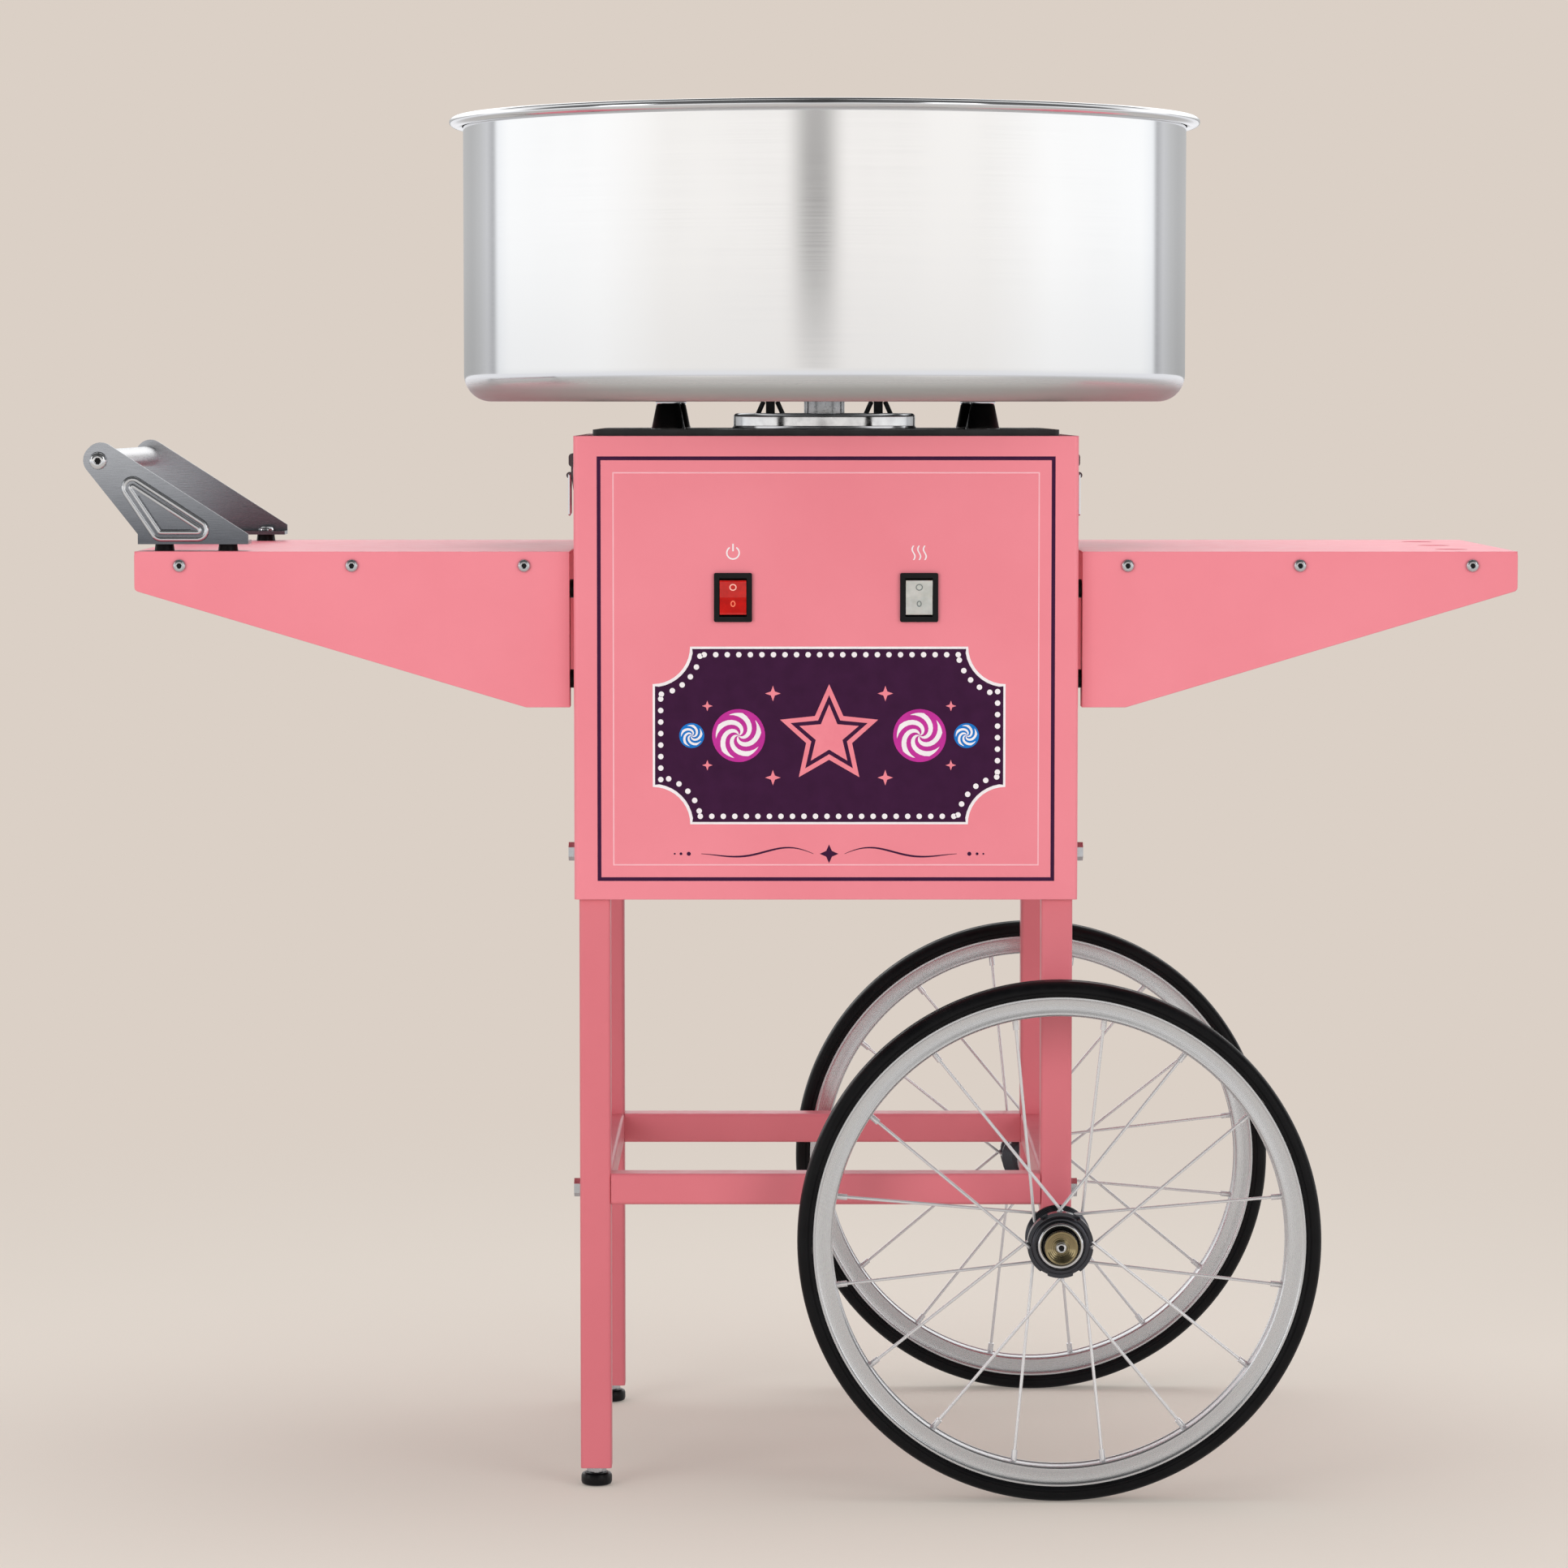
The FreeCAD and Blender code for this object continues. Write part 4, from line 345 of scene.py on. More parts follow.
def lathe(profile, matrix, steps=64, closed=True):
    # turns a profile of (radius, height) in mm about local Z; radius 0 ends close to a point
    points, faces, rows = [], [], []
    for radius, height in profile:
        ring = [(0, 0)] if radius < 1e-4 else arc(0, 0, radius, 0, 360, steps)[:-1]
        rows.append([len(points) + k % len(ring) for k in range(steps)])
        points += [(x * mm, y * mm, height * mm) for x, y in ring]
    for low, high in zip(rows, rows[1:] + rows[:1] if closed else rows[1:]):
        for k in range(steps):
            j = (k + 1) % steps
            corners = list(dict.fromkeys((low[k], low[j], high[j], high[k])))
            if len(corners) > 2:
                faces.append(corners)
    return makeMesh(points, faces, matrix)


def rounded(corners, steps=6):
    # closed outline through (x, y, radius) with each corner rounded off
    made = []
    for i, (x, y, radius) in enumerate(corners):
        if radius <= 0:
            made.append((x, y))
            continue
        here = Vector((x, y))
        back = (Vector(corners[i - 1][:2]) - here).normalized()
        ahead = (Vector(corners[(i + 1) % len(corners)][:2]) - here).normalized()
        half = back.angle(ahead) / 2
        centre = here + (back + ahead).normalized() * radius / math.sin(half)
        first = here + back * radius / math.tan(half) - centre
        last = here + ahead * radius / math.tan(half) - centre
        turn = math.atan2(first.x * last.y - first.y * last.x, first.dot(last))
        for k in range(steps + 1):
            angle = turn * k / steps
            made.append((centre.x + first.x * math.cos(angle) - first.y * math.sin(angle),
                         centre.y + first.x * math.sin(angle) + first.y * math.cos(angle)))
    return made


def inset(loop, gap):
    # outline moved inward by a gap, where it runs anticlockwise
    made = []
    for i, spot in enumerate(loop):
        here = Vector(spot)
        back = (here - Vector(loop[i - 1])).normalized()
        ahead = (Vector(loop[(i + 1) % len(loop)]) - here).normalized()
        side = (Vector((-back.y, back.x)) + Vector((-ahead.y, ahead.x))).normalized()
        made.append(tuple(here + side * gap))
    return made


def curveMesh(loops, matrix, thickness=0.0, wire=0.0):
    # closed outlines in mm, filled and thickened, or drawn as round wire
    curve = bpy.data.curves.new("outline", "CURVE")
    curve.dimensions = "3D" if wire else "2D"
    curve.fill_mode = "FULL" if wire else "BOTH"
    curve.extrude = thickness * mm / 2
    curve.bevel_depth = wire * mm
    curve.bevel_resolution = 3
    for loop in loops:
        line = curve.splines.new("POLY")
        line.points.add(len(loop) - 1)
        for point, (x, y) in zip(line.points, loop):
            point.co = (x * mm, y * mm, 0, 1)
        line.use_cyclic_u = True
    holder = bpy.data.objects.new("outline", curve)
    scene.collection.objects.link(holder)
    bpy.context.view_layer.update()
    mesh = bpy.data.meshes.new_from_object(holder.evaluated_get(bpy.context.evaluated_depsgraph_get()))
    bpy.data.objects.remove(holder)
    bpy.data.curves.remove(curve)
    mesh.transform(matrix)
    return mesh


def joinMeshes(meshes):
    points, faces = [], []
    for mesh in meshes:
        start = len(points)
        points += [tuple(v.co) for v in mesh.vertices]
        faces += [[start + i for i in face.vertices] for face in mesh.polygons]
        bpy.data.meshes.remove(mesh)
    return makeMesh(points, faces)


def facing(direction, spot):
    # matrix that stands local Z along direction, with its origin at spot
    return Matrix.Translation(spot) @ Vector(direction).to_track_quat("Z", "Y").to_matrix().to_4x4()


def sheetProfile(line, sheet):
    # gives a middle line the thickness of the sheet
    outer, inner = [], []
    for i, (x, y) in enumerate(line):
        before, after = line[max(i - 1, 0)], line[min(i + 1, len(line) - 1)]
        way = Vector((after[0] - before[0], after[1] - before[1])).normalized() * sheet / 2
        outer.append((x + way.y, y - way.x))
        inner.append((x - way.y, y + way.x))
    return outer + inner[::-1]


# bowl: radii, heights and sheet in mm; lip is the turned up edge of the hole in its bottom
bowl = {"hole": 75, "wall": 240, "corner": 18, "height": 188, "roll": 5.2, "rollHigh": 3.6, "sheet": 1.2, "lip": 5,
        "lipBend": 1.6, "floorRings": (120, 170), "wallRings": (21, 60, 120, 178, 183)}
half = bowl["sheet"] / 2
holeLine, wallLine = bowl["hole"] + half, bowl["wall"] - half
bend, corner = bowl["lipBend"], bowl["corner"] - half
roll, rollHigh = bowl["roll"] - half, bowl["rollHigh"] - half
line = [(holeLine, bowl["lip"])] + arc(holeLine + bend, half + bend, bend, 180, 270, 5)
line += [(x, half) for x in bowl["floorRings"]] + arc(wallLine - corner, half + corner, corner, -90, 0, 16)
line += [(wallLine, y) for y in bowl["wallRings"]]
line += [(wallLine + roll + roll * x, bowl["height"] - bowl["rollHigh"] + rollHigh * y)
         for x, y in arc(0, 0, 1, 180, -130, 32)]   # oval bead rolled over outward
seat = Matrix.Translation((headCentre[0], 0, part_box("bowl")[0].z))
bowlMesh = lathe(sheetProfile(line, bowl["sheet"]), seat, 256)
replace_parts(addPiece("spunBowl", bowlMesh, "bowl", "bowlSteel", 60), "bowl")
print("bowl made")

# wheels: middle is how far each stands from the cart's middle
wheel = {"outer": 167, "bead": 157.4, "inner": 144.4, "tyreWidth": 20, "rimWidth": 18, "shoulder": 5.4,
         "groove": (0.9, 1.0), "middle": 197, "steps": 224}


def tyreProfile():
    r, b, w, rim = wheel["outer"], wheel["bead"], wheel["tyreWidth"] / 2, wheel["rimWidth"] / 2
    depth, wide = wheel["groove"]
    # side wall with a fine moulded groove; its shoulder turns into a tread with one groove at the middle
    half = [(b + 0.05, rim - 0.4), (b + 0.7, w - 0.5), (b + 1.6, w), (b + 2.2, w), (b + 2.45, w - 0.3),
            (b + 2.85, w - 0.3), (b + 3.1, w)]
    half += arc(r - wheel["shoulder"], w - wheel["shoulder"], wheel["shoulder"], 90, 10, 8)
    half += [(r, 2.2), (r, wide), (r - depth, 0.6)]
    return half + [(x, -y) for x, y in reversed(half)]


def rimProfile():
    # rolled rim: flanges that hold the tyre, a raised inner band and a well between the flanges
    o, i, w = wheel["bead"], wheel["inner"], wheel["rimWidth"] / 2
    half = [(o, w - 1.4), (o, w - 0.5), (o - 0.5, w), (o - 1.6, w), (o - 2.1, w - 0.5), (o - 3.2, w - 0.9),
            (i + 3.4, w - 0.9), (i + 2.4, w - 0.6), (i + 1.4, w - 0.7), (i + 0.5, w - 1.5), (i, w - 3.4), (i, 4.6),
            (i + 0.5, 4.2), (i + 0.5, 0)]
    well = [(i + 4, w - 4.1), (o, w - 1.6)]
    return half + [(x, -y) for x, y in half[-2::-1] + well[::-1]] + well


for end, way in ends:
    axle = facing((0, way, 0), (wheelCentre[0], way * wheel["middle"] * mm, wheelCentre[2]))
    for part, profile, finish, slot in (("Tyre", tyreProfile(), "tyre", "tyre"),
                                        ("Rim", rimProfile(), "rimAluminium", "turned_aluminium")):
        mesh = lathe(profile, axle, wheel["steps"])
        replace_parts(addPiece(end + part, mesh, end + "_wheel", finish, 28), end + "_" + part.lower())

# hub: radii, and distances along the axle from the cart's middle
hub = {"middle": 214, "bore": 6.3, "black": 11.9, "ring": 14.6, "ringHigh": 5, "cap": 10.6, "capBack": 221.6,
       "capFront": 228.9, "dish": 2.6, "hole": 1.7, "bright": 3.2, "brightTop": 228.85, "seat": 217, "grooves": 8,
       "rod": 6, "rodEnd": 226}


def axleCapProfile():
    # turned end nut: shallow concentric grooves round a drilled centre
    face, edge, back = hub["capFront"], hub["cap"], hub["capBack"]
    start = hub["bright"] + 0.2
    pitch = (edge - 0.9 - start) / hub["grooves"]
    line = [(start, face - hub["dish"] - 0.2)]
    for k in range(hub["grooves"]):
        fall = hub["dish"] * (1 - (k + 0.5) / hub["grooves"]) ** 0.8
        line += [(start + pitch * (k + 0.15), face - fall + 0.02), (start + pitch * (k + 0.9), face - fall + 0.12)]
    return line + [(edge - 0.6, face - 0.1), (edge - 0.15, face - 0.2), (edge, face - 0.6), (edge, back),
                   (hub["rod"], back), (start, back)]


for end, way in ends:
    seat = facing((0, way, 0), (wheelCentre[0], way * hub["middle"] * mm, wheelCentre[2]))
    out = facing((0, way, 0), (wheelCentre[0], 0, wheelCentre[2]))
    body, bore, black, bright, hole = end + "_wheel", hub["bore"], hub["black"], hub["bright"], hub["hole"] - 0.03
    ringIn, ringOut = black + 0.05, hub["ring"]
    flange = [(bore, 0.2), (black, 0.2), (black, 4.4), (black - 0.5, 5.2), (11.0, 5.4), (10.8, 4.2), (bore, 4.2)]
    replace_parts(addPiece(end + "HubCap", lathe(flange, seat), body, "glossBlack"), end + "_hub_cap")
    ring = [(ringIn, 0.2), (ringOut, 0.2)]
    ring += arc((ringIn + ringOut) / 2, hub["ringHigh"], (ringOut - ringIn) / 2, 0, 180, 10)
    addPiece(end + "HubRing", lathe(ring, seat), body, "chrome", 50)
    addPiece(end + "AxleCap", lathe(axleCapProfile(), out), "cart", "hubBrass", 50)
    # a black plug just below the face fills the centre hole: painted shade for its depth
    drilled = [(0, 226.5), (hole, 226.5), (hole, 228.2), (0, 228.0)]
    addPiece(end + "AxleHoleShade", lathe(drilled, out, 40, False), "cart", "plastic")
    lugged = [(x, hub["seat"] + y) for x, y in ((14.9, 0), (18.6, 0), (18.3, 0.9), (17.6, 1.5), (16.2, 1.7),
                                                (15.2, 1.3), (14.9, 0.7))]
    addPiece(end + "HubSeat", lathe(lugged, out, 96), body, "hubSteel", 50)
    raised = [(hub["hole"], 226.4), (hub["hole"], 228.6), (hub["hole"] + 0.25, hub["brightTop"]),
              (bright - 0.4, hub["brightTop"]), (bright, 228.4), (bright, 226.4)]
    addPiece(end + "AxleRing", lathe(raised, out, 40), "cart", "chrome", 50)
rod = [(0, -hub["rodEnd"]), (hub["rod"], -hub["rodEnd"]), (hub["rod"], hub["rodEnd"]), (0, hub["rodEnd"])]
rodWay = facing((0, 1, 0), (wheelCentre[0], 0, wheelCentre[2]))
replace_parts(addPiece("axleRod", lathe(rod, rodWay, 48, False), "cart", "zinc"), "axle")
print("wheels and hubs made")

# posts: tapered rubber under the bowl, each with a bright cap
post = {"x": 102, "y": 100, "base": 11, "top": 7.7, "height": 16.2, "cap": 8.2, "capTop": 18}
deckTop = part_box("top_plate")[1].z
r, t, h, c, capTop = post["base"], post["top"], post["height"], post["cap"], post["capTop"]
black = [(0, 0), (r, 0), (r, 1.0), (r - 0.35, 1.7), (t + 0.1, h - 0.8), (t - 0.4, h), (0, h)]
white = [(0, h), (c - 0.2, h), (c, h + 0.3), (c, capTop - 0.4), (c - 0.4, capTop), (0, capTop)]
spots = [Matrix.Translation((headCentre[0] + sx * post["x"] * mm, sy * post["y"] * mm, deckTop))
         for sx in (-1, 1) for sy in (-1, 1)]
blackPosts = joinMeshes([lathe(black, spot, 48, False) for spot in spots])
whiteCaps = joinMeshes([lathe(white, spot, 48, False) for spot in spots])
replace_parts(addPiece("bowlPosts", blackPosts, "cart", "glossBlack"), "bowl_posts")
addPiece("postCaps", whiteCaps, "cart", "chrome")

# dome: side leans in by a little, top nearly flat
dome = {"radius": 62, "lean": 1.4, "shoulder": 1.9, "height": 10.2, "sheet": 1.2, "hole": 15, "topRings": (46, 30)}
half, bend = dome["sheet"] / 2, dome["shoulder"]
top, edge = dome["height"] - half, dome["radius"] - half - dome["lean"]
line = [(edge + dome["lean"], 0), (edge + 0.5, 1.0), (edge + 0.1, 1.4), (edge + 0.02, 1.7), (edge, 2.1),
        (edge, top - bend - 0.3)]
line += arc(edge - bend, top - bend, bend, 2, 88, 12)
line += [(dome["topRings"][0], top + 0.1), (dome["topRings"][1], top + 0.15), (dome["hole"], top + 0.15)]
domeMesh = lathe(sheetProfile(line, dome["sheet"]), Matrix.Translation((headCentre[0], 0, deckTop)), 160)
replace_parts(addPiece("domeCover", domeMesh, "cart", "domeSteel", 60), "dome_cover")

foot = {"x": -0.1315, "y": 0.147, "radius": 10, "pad": 8, "nut": 6.4, "nutTop": 11.7, "stud": 4, "studTop": 31.8,
        "threads": 22, "threadDepth": 0.45}


def hexReach(angle):
    # how far a hexagon with corners at 1 reaches at an angle
    return math.cos(math.pi / 6) / math.cos(angle % (math.pi / 3) - math.pi / 6)


def ringAt(height, reach, steps):
    # one ring of points, where reach gives the radius at an angle
    angles = [math.tau * k / steps for k in range(steps)]
    return [(reach(angle) * math.cos(angle), reach(angle) * math.sin(angle), height) for angle in angles]


def stackRings(rings, matrix, closed=False):
    # skins rings in mm that have equally many points; an open stack gets a cap at each end
    count, steps, faces = len(rings), len(rings[0]), []
    for row in range(count if closed else count - 1):
        low, high = row * steps, (row + 1) % count * steps
        faces += [(low + k, low + (k + 1) % steps, high + (k + 1) % steps, high + k) for k in range(steps)]
    if not closed:
        faces += [tuple(range(steps))[::-1], tuple(range((count - 1) * steps, count * steps))]
    return makeMesh([(x * mm, y * mm, z * mm) for ring in rings for x, y, z in ring], faces, matrix)


def hexNut(radius, low, high, matrix, bore, bevel=0.5):
    # six sided nut with corners turned off at both faces
    levels = [(bore, low), (radius * 0.93, low), (radius, low + bevel), (radius, high - bevel),
              (radius * 0.93, high), (bore, high)]
    rings = [ringAt(z, lambda angle: min(r, radius * hexReach(angle)), 36) for r, z in levels]
    return stackRings(rings, matrix, closed=True)


for end, way in ends:
    spot = Matrix.Translation((foot["x"], way * foot["y"], 0))
    r, h, stud = foot["radius"], foot["pad"], foot["stud"]
    pad = [(0, 0), (r - 1.8, 0), (r - 0.5, 0.7), (r, 2.2), (r, h - 2.4), (r - 0.6, h - 0.8), (r - 2.2, h), (5.8, h),
           (5.2, h - 0.4), (0, h - 0.4)]
    piece = addPiece(end + "FootPad", lathe(pad, spot, 64, False), end + "_foot", "plastic",
                     40)
    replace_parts(piece, "foot_" + end)
    thread = [(0, h - 0.3), (stud, h - 0.3)]
    for k in range(foot["threads"]):
        thread += [(stud - foot["threadDepth"], h + 0.4 + k), (stud, h + 0.9 + k)]
    thread += [(stud - 0.8, foot["studTop"]), (0, foot["studTop"])]
    nut = hexNut(foot["nut"], h + 0.1, foot["nutTop"], spot, stud + 0.1)
    studMesh = joinMeshes([nut, lathe(thread, spot, 32, False)])
    addPiece(end + "FootStud", studMesh, end + "_foot", "zinc")
print("posts, dome and feet made")


def socketScrew(size, matrix):
    # button head with a hexagon socket; local Z leaves the head, the shank runs back
    radius, dome, socket, shank, reach = (size[key] for key in ("head", "dome", "socket", "shank", "reach"))
    rim, mouth = 0.12 * dome, socket * 1.25
    head = [(0, -reach, 0), (shank, -reach, 0), (shank, 0, 0), (radius * 0.94, 0, 0), (radius, rim, 0)]
    head += [(mouth + (radius - mouth) * c, rim + (dome - rim) * s, 0) for c, s in arc(0, 0, 1, 0, 90, 7)[1:]]
    head += [(socket * 1.05, dome, 0.5), (socket, dome - 0.12, 1), (socket, dome * 0.35, 1), (0, dome * 0.3, 1)]
    # the third value says how much of a hexagon each ring is
    rings = [ringAt(z, lambda angle: max(r, 0.01) * (1 + six * (hexReach(angle) - 1)), 48) for r, z, six in head]
    return stackRings(rings, matrix)


def socketShadeFloor(size, matrix, low=0.32, high=0.62, wide=1.02):
    # black lining at the bottom of the hexagon socket, painted shade for its depth; low and high as shares of the
    # head's dome
    return stackRings([ringAt(size["dome"] * z, lambda angle: size["socket"] * wide, 6) for z in (low, high)], matrix)


sockets = []


def addScrew(size, spot, way):
    matrix = facing(way, tuple(v * mm for v in spot))
    sockets.append(socketShadeFloor(size, matrix))
    return socketScrew(size, matrix)


screw = {"head": 4.3, "dome": 2.4, "socket": 1.75, "shank": 2, "reach": 4.4}
apron = {"x": (-176.5, -287, -397.5, 210.5, 321, 431.5), "y": 150, "z": 596}
cover = {"x": (-119.5, 153.5), "y": 161.5, "z": (407, 654)}
made = [addScrew(screw, (x, way * apron["y"], apron["z"]), (0, way, 0)) for x in apron["x"] for way in (-1, 1)]
made += [addScrew(screw, (x, cover["y"], z), (0, 1, 0)) for x in cover["x"] for z in cover["z"]]
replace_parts(addPiece("panelScrews", joinMeshes(made), "cart", "zinc", 40), "panel_screws")
grip = {"x": -450.5, "z": 663, "y": 138, "head": 5.8, "dome": 3, "socket": 2.2, "shank": 4, "reach": 20}
bolt = {"x": (-409.5, -368.5), "y": 127, "z": 611.9, "head": 5.6, "dome": 3.2, "socket": 2.1, "shank": 3, "reach": 13.2}
made = [addScrew(grip, (grip["x"], way * grip["y"], grip["z"]), (0, way, 0)) for way in (-1, 1)]
made += [addScrew(bolt, (x, way * bolt["y"], bolt["z"]), (0, 0, 1)) for x in bolt["x"] for way in (-1, 1)]
handleScrews = joinMeshes(made)
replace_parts(addPiece("handleScrews", handleScrews, "cart", "chrome", 40), "handle_screws")
# the socket linings are black: painted shade in each socket
addPiece("screwSocketShade", joinMeshes(sockets), "cart", "plastic")

# stiffening beads pressed into each handle bracket, domed outward, one at each gap inside the corners
bead = {"corners": ((-449, 666), (-413.4, 612.7), (-367.5, 612.7)), "round": 5.8, "wire": 1.8, "y": 138.4,
        "gaps": (0, 4.4)}
loop = rounded([(x, z, bead["round"]) for x, z in bead["corners"]], 8)
ridges = [inset(loop, gap) for gap in bead["gaps"]]
beads = [curveMesh(ridges, Matrix.Translation((0, way * bead["y"] * mm, 0)) @ frontPlane, wire=bead["wire"])
         for way in (-1, 1)]
addPiece("handleBeads", joinMeshes(beads), "cart", "beadSteel", 60)
print("screws and beads made")

# rockers: soft edges, and a ring printed on each half
rocker = {"edge": 0.7, "edgeAngle": 50, "line": 0.7, "ink": 0.16, "lift": 0.04,
          "rings": {"Upper": (6.6, 2.3, 2.3), "Lower": (-4.0, 1.6, 2.0)},   # rise, half width, half height
          "power": {"Upper": "markPale", "Lower": "markRed", "slot": "red_plastic"},
          "heat": {"Upper": "markGrey", "Lower": "markGrey", "slot": "grey_plastic"}}
for kind in ("power", "heat"):
    node = nodes[kind + "_rocker"]
    soften = node.modifiers.new("soften", "BEVEL")
    soften.width, soften.segments = rocker["edge"] * mm, 3
    soften.limit_method, soften.angle_limit = "ANGLE", math.radians(rocker["edgeAngle"])
    low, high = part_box(kind + "_rocker")
    mid = (low + high) / 2
    toLocal = node.matrix_world.inverted()
    for place, (rise, wide, tall) in rocker["rings"].items():
        start = toLocal @ Vector((mid.x, low.y - 10 * mm, mid.z + rise * mm))
        _, spot, normal, _ = node.ray_cast(start, toLocal.to_3x3() @ Vector((0, 1, 0)))
        spot, normal = node.matrix_world @ spot, node.matrix_world.to_3x3() @ normal
        lean = Matrix.Rotation(math.atan2(-normal.z, -normal.y), 4, "X")
        tilt = Matrix.Translation(spot + normal * rocker["lift"] * mm) @ lean @ frontPlane
        line, circle = rocker["line"], arc(0, 0, 1, 0, 360, 32)[:-1]
        loops = [[(x * wide, y * tall) for x, y in circle],
                 [(x * (wide - line), y * (tall - line)) for x, y in circle]]
        addPiece(kind + "Mark" + place, curveMesh(loops, tilt, rocker["ink"]), kind + "_rocker",
                 rocker[kind][place])
print("rockers made")

# print on the front: outer frame and inner line as half width, bottom, top and line width
printed = {"ink": 0.12, "frame": (146.5, 394, 666, 2.4), "line": (136.5, 404, 656, 0.8)}
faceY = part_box("cabinet_shell")[0].y


def flat(name, loops, layer, finish, thick=printed["ink"]):
    # print laid on the cabinet front, each layer of ink on top of the one before; drawing units are mm
    depth = faceY - (layer * printed["ink"] + thick / 2) * mm
    matrix = Matrix.Translation((headCentre[0], depth, 0)) @ frontPlane
    return addPiece(name, curveMesh(loops, matrix, thick), "cart", finish)


def boxLoop(x, low, high, middle=0):
    return [(middle - x, low), (middle + x, low), (middle + x, high), (middle - x, high)]


for name, (x, low, high, wide), finish in (("printedFrame", printed["frame"], "purpleInk"),
                                           ("printedLine", printed["line"], "paleInk")):
    flat(name, [boxLoop(x, low, high), boxLoop(x - wide, low + wide, high - wide)], 0, finish)

# badge: a ticket shaped plate with bulbs, a star and swirl discs; spots are (x, z, radius) from its middle
badge = {"x": 2, "z": 487.5, "wide": 113, "high": 57, "notch": 24, "border": 2.0,
         "bulb": 1.75, "bulbs": 84, "bulbInset": 7.0, "bulbThick": 0.3,
         "star": (33, 15.5), "starHole": (26, 12), "innerStar": (20, 9), "swirl": 0.86,
         "discs": {"magentaInk": [(-58, 0, 17), (58, 0, 17)], "blueInk": [(-88, 0, 8), (88, 0, 8)]},
         "sparks": [(-36, 27, 5), (36, 27, 5), (-36, -27, 5), (36, -27, 5),
                    (-78, 19, 3.4), (78, 19, 3.4), (-78, -19, 3.4), (78, -19, 3.4)], "sparkWaist": 0.36}
bx, bz = badge["x"], badge["z"]


def ticket(wide, high, notch):
    # rectangle round the badge's middle whose four corners are cut back by round bites
    return [spot for sx, sy, start in ((-1, -1, 90), (1, -1, 180), (1, 1, 270), (-1, 1, 0))
            for spot in arc(bx + sx * wide, bz + sy * high, notch, start, start - 90, 10)]


def evenly(loop, count):
    # spots at equal steps along a closed outline
    spots = [Vector(p) for p in loop] + [Vector(loop[0])]
    lengths = [(b - a).length for a, b in zip(spots, spots[1:])]
    total, made, i, gone = sum(lengths), [], 0, 0.0
    for k in range(count):
        goal = total * k / count
        while gone + lengths[i] < goal:
            gone += lengths[i]
            i += 1
        made.append(tuple(spots[i].lerp(spots[i + 1], (goal - gone) / lengths[i])))
    return made


def star(cx, cy, outer, inner, points=5):
    # one tip points straight up
    half = 180 / points
    tips, waists = arc(cx, cy, outer, 90, 450, points), arc(cx, cy, inner, 90 + half, 450 + half, points)
    return [spot for pair in zip(tips[:-1], waists) for spot in pair]


def swirl(cx, cy, radius, arms=5, turns=0.42, steps=12):
    # arms of a boiled sweet: curved wedges from the middle to the rim
    made = []
    for arm in range(arms):
        start, wide = 360 / arms * arm, 180 / arms
        edge = [(radius * k / steps, start + 360 * turns * k / steps) for k in range(steps + 1)]
        back = [(r, angle + wide) for r, angle in edge[:0:-1]]
        rimArc = [(radius, edge[-1][1] + wide * k / 5) for k in range(1, 5)]
        made.append([(cx + r * math.cos(math.radians(a)), cy + r * math.sin(math.radians(a)))
                     for r, a in edge + rimArc + back])
    return made


plate = ticket(badge["wide"], badge["high"], badge["notch"])
bulbSpots = evenly(inset(plate, badge["bulbInset"]), badge["bulbs"])
flat("badgeBorder", [plate], 0, "whiteInk")
flat("badgeGround", [inset(plate, badge["border"])], 1, "purpleInk")
flat("badgeBulbs", [arc(x, y, badge["bulb"], 0, 345, 23) for x, y in bulbSpots], 2, "whiteInk", badge["bulbThick"])
flat("badgeStar", [star(bx, bz, *badge["star"]), star(bx, bz, *badge["starHole"])[::-1]], 2, "pinkInk")
flat("badgeInnerStar", [star(bx, bz, *badge["innerStar"])], 2, "pinkInk")
for finish, spots in badge["discs"].items():
    flat("badgeDiscs_" + finish, [arc(bx + x, bz + y, r, 0, 352, 44) for x, y, r in spots], 2, finish)
    flat("badgeSwirls_" + finish, [loop for x, y, r in spots for loop in swirl(bx + x, bz + y, r * badge["swirl"])],
         3, "whiteInk")
flat("badgeSparks", [star(bx + x, bz + y, r, r * badge["sparkWaist"], 4) for x, y, r in badge["sparks"]], 2, "pinkInk")

# a wavy rule under the badge, from a small star out to three dots at each end
flourish = {"z": 411.5, "from": 10, "to": 82, "wave": 5, "fade": 46, "thick": 0.5, "star": (6, 2.6), "steps": 40,
            "dots": ((90, 1.3), (95, 0.9), (99, 0.6))}


def ornament(way):
    f, top, low = flourish, [], []
    for k in range(f["steps"] + 1):
        share = k / f["steps"]
        x = way * (f["from"] + (f["to"] - f["from"]) * share) + bx
        z = f["z"] + f["wave"] * math.sin(math.tau * share) * (1 - k / f["fade"])
        thick = f["thick"] * (0.25 + math.sin(math.pi * share))
        top.append((x, z + thick))
        low.append((x, z - thick))
    return top + low[::-1]


dots = [arc(bx + way * x, flourish["z"], r, 0, 345, 15) for way in (-1, 1) for x, r in flourish["dots"]]
flat("printedFlourish", [ornament(-1), ornament(1), star(bx, flourish["z"], *flourish["star"], 4)] + dots, 0,
     "purpleInk")

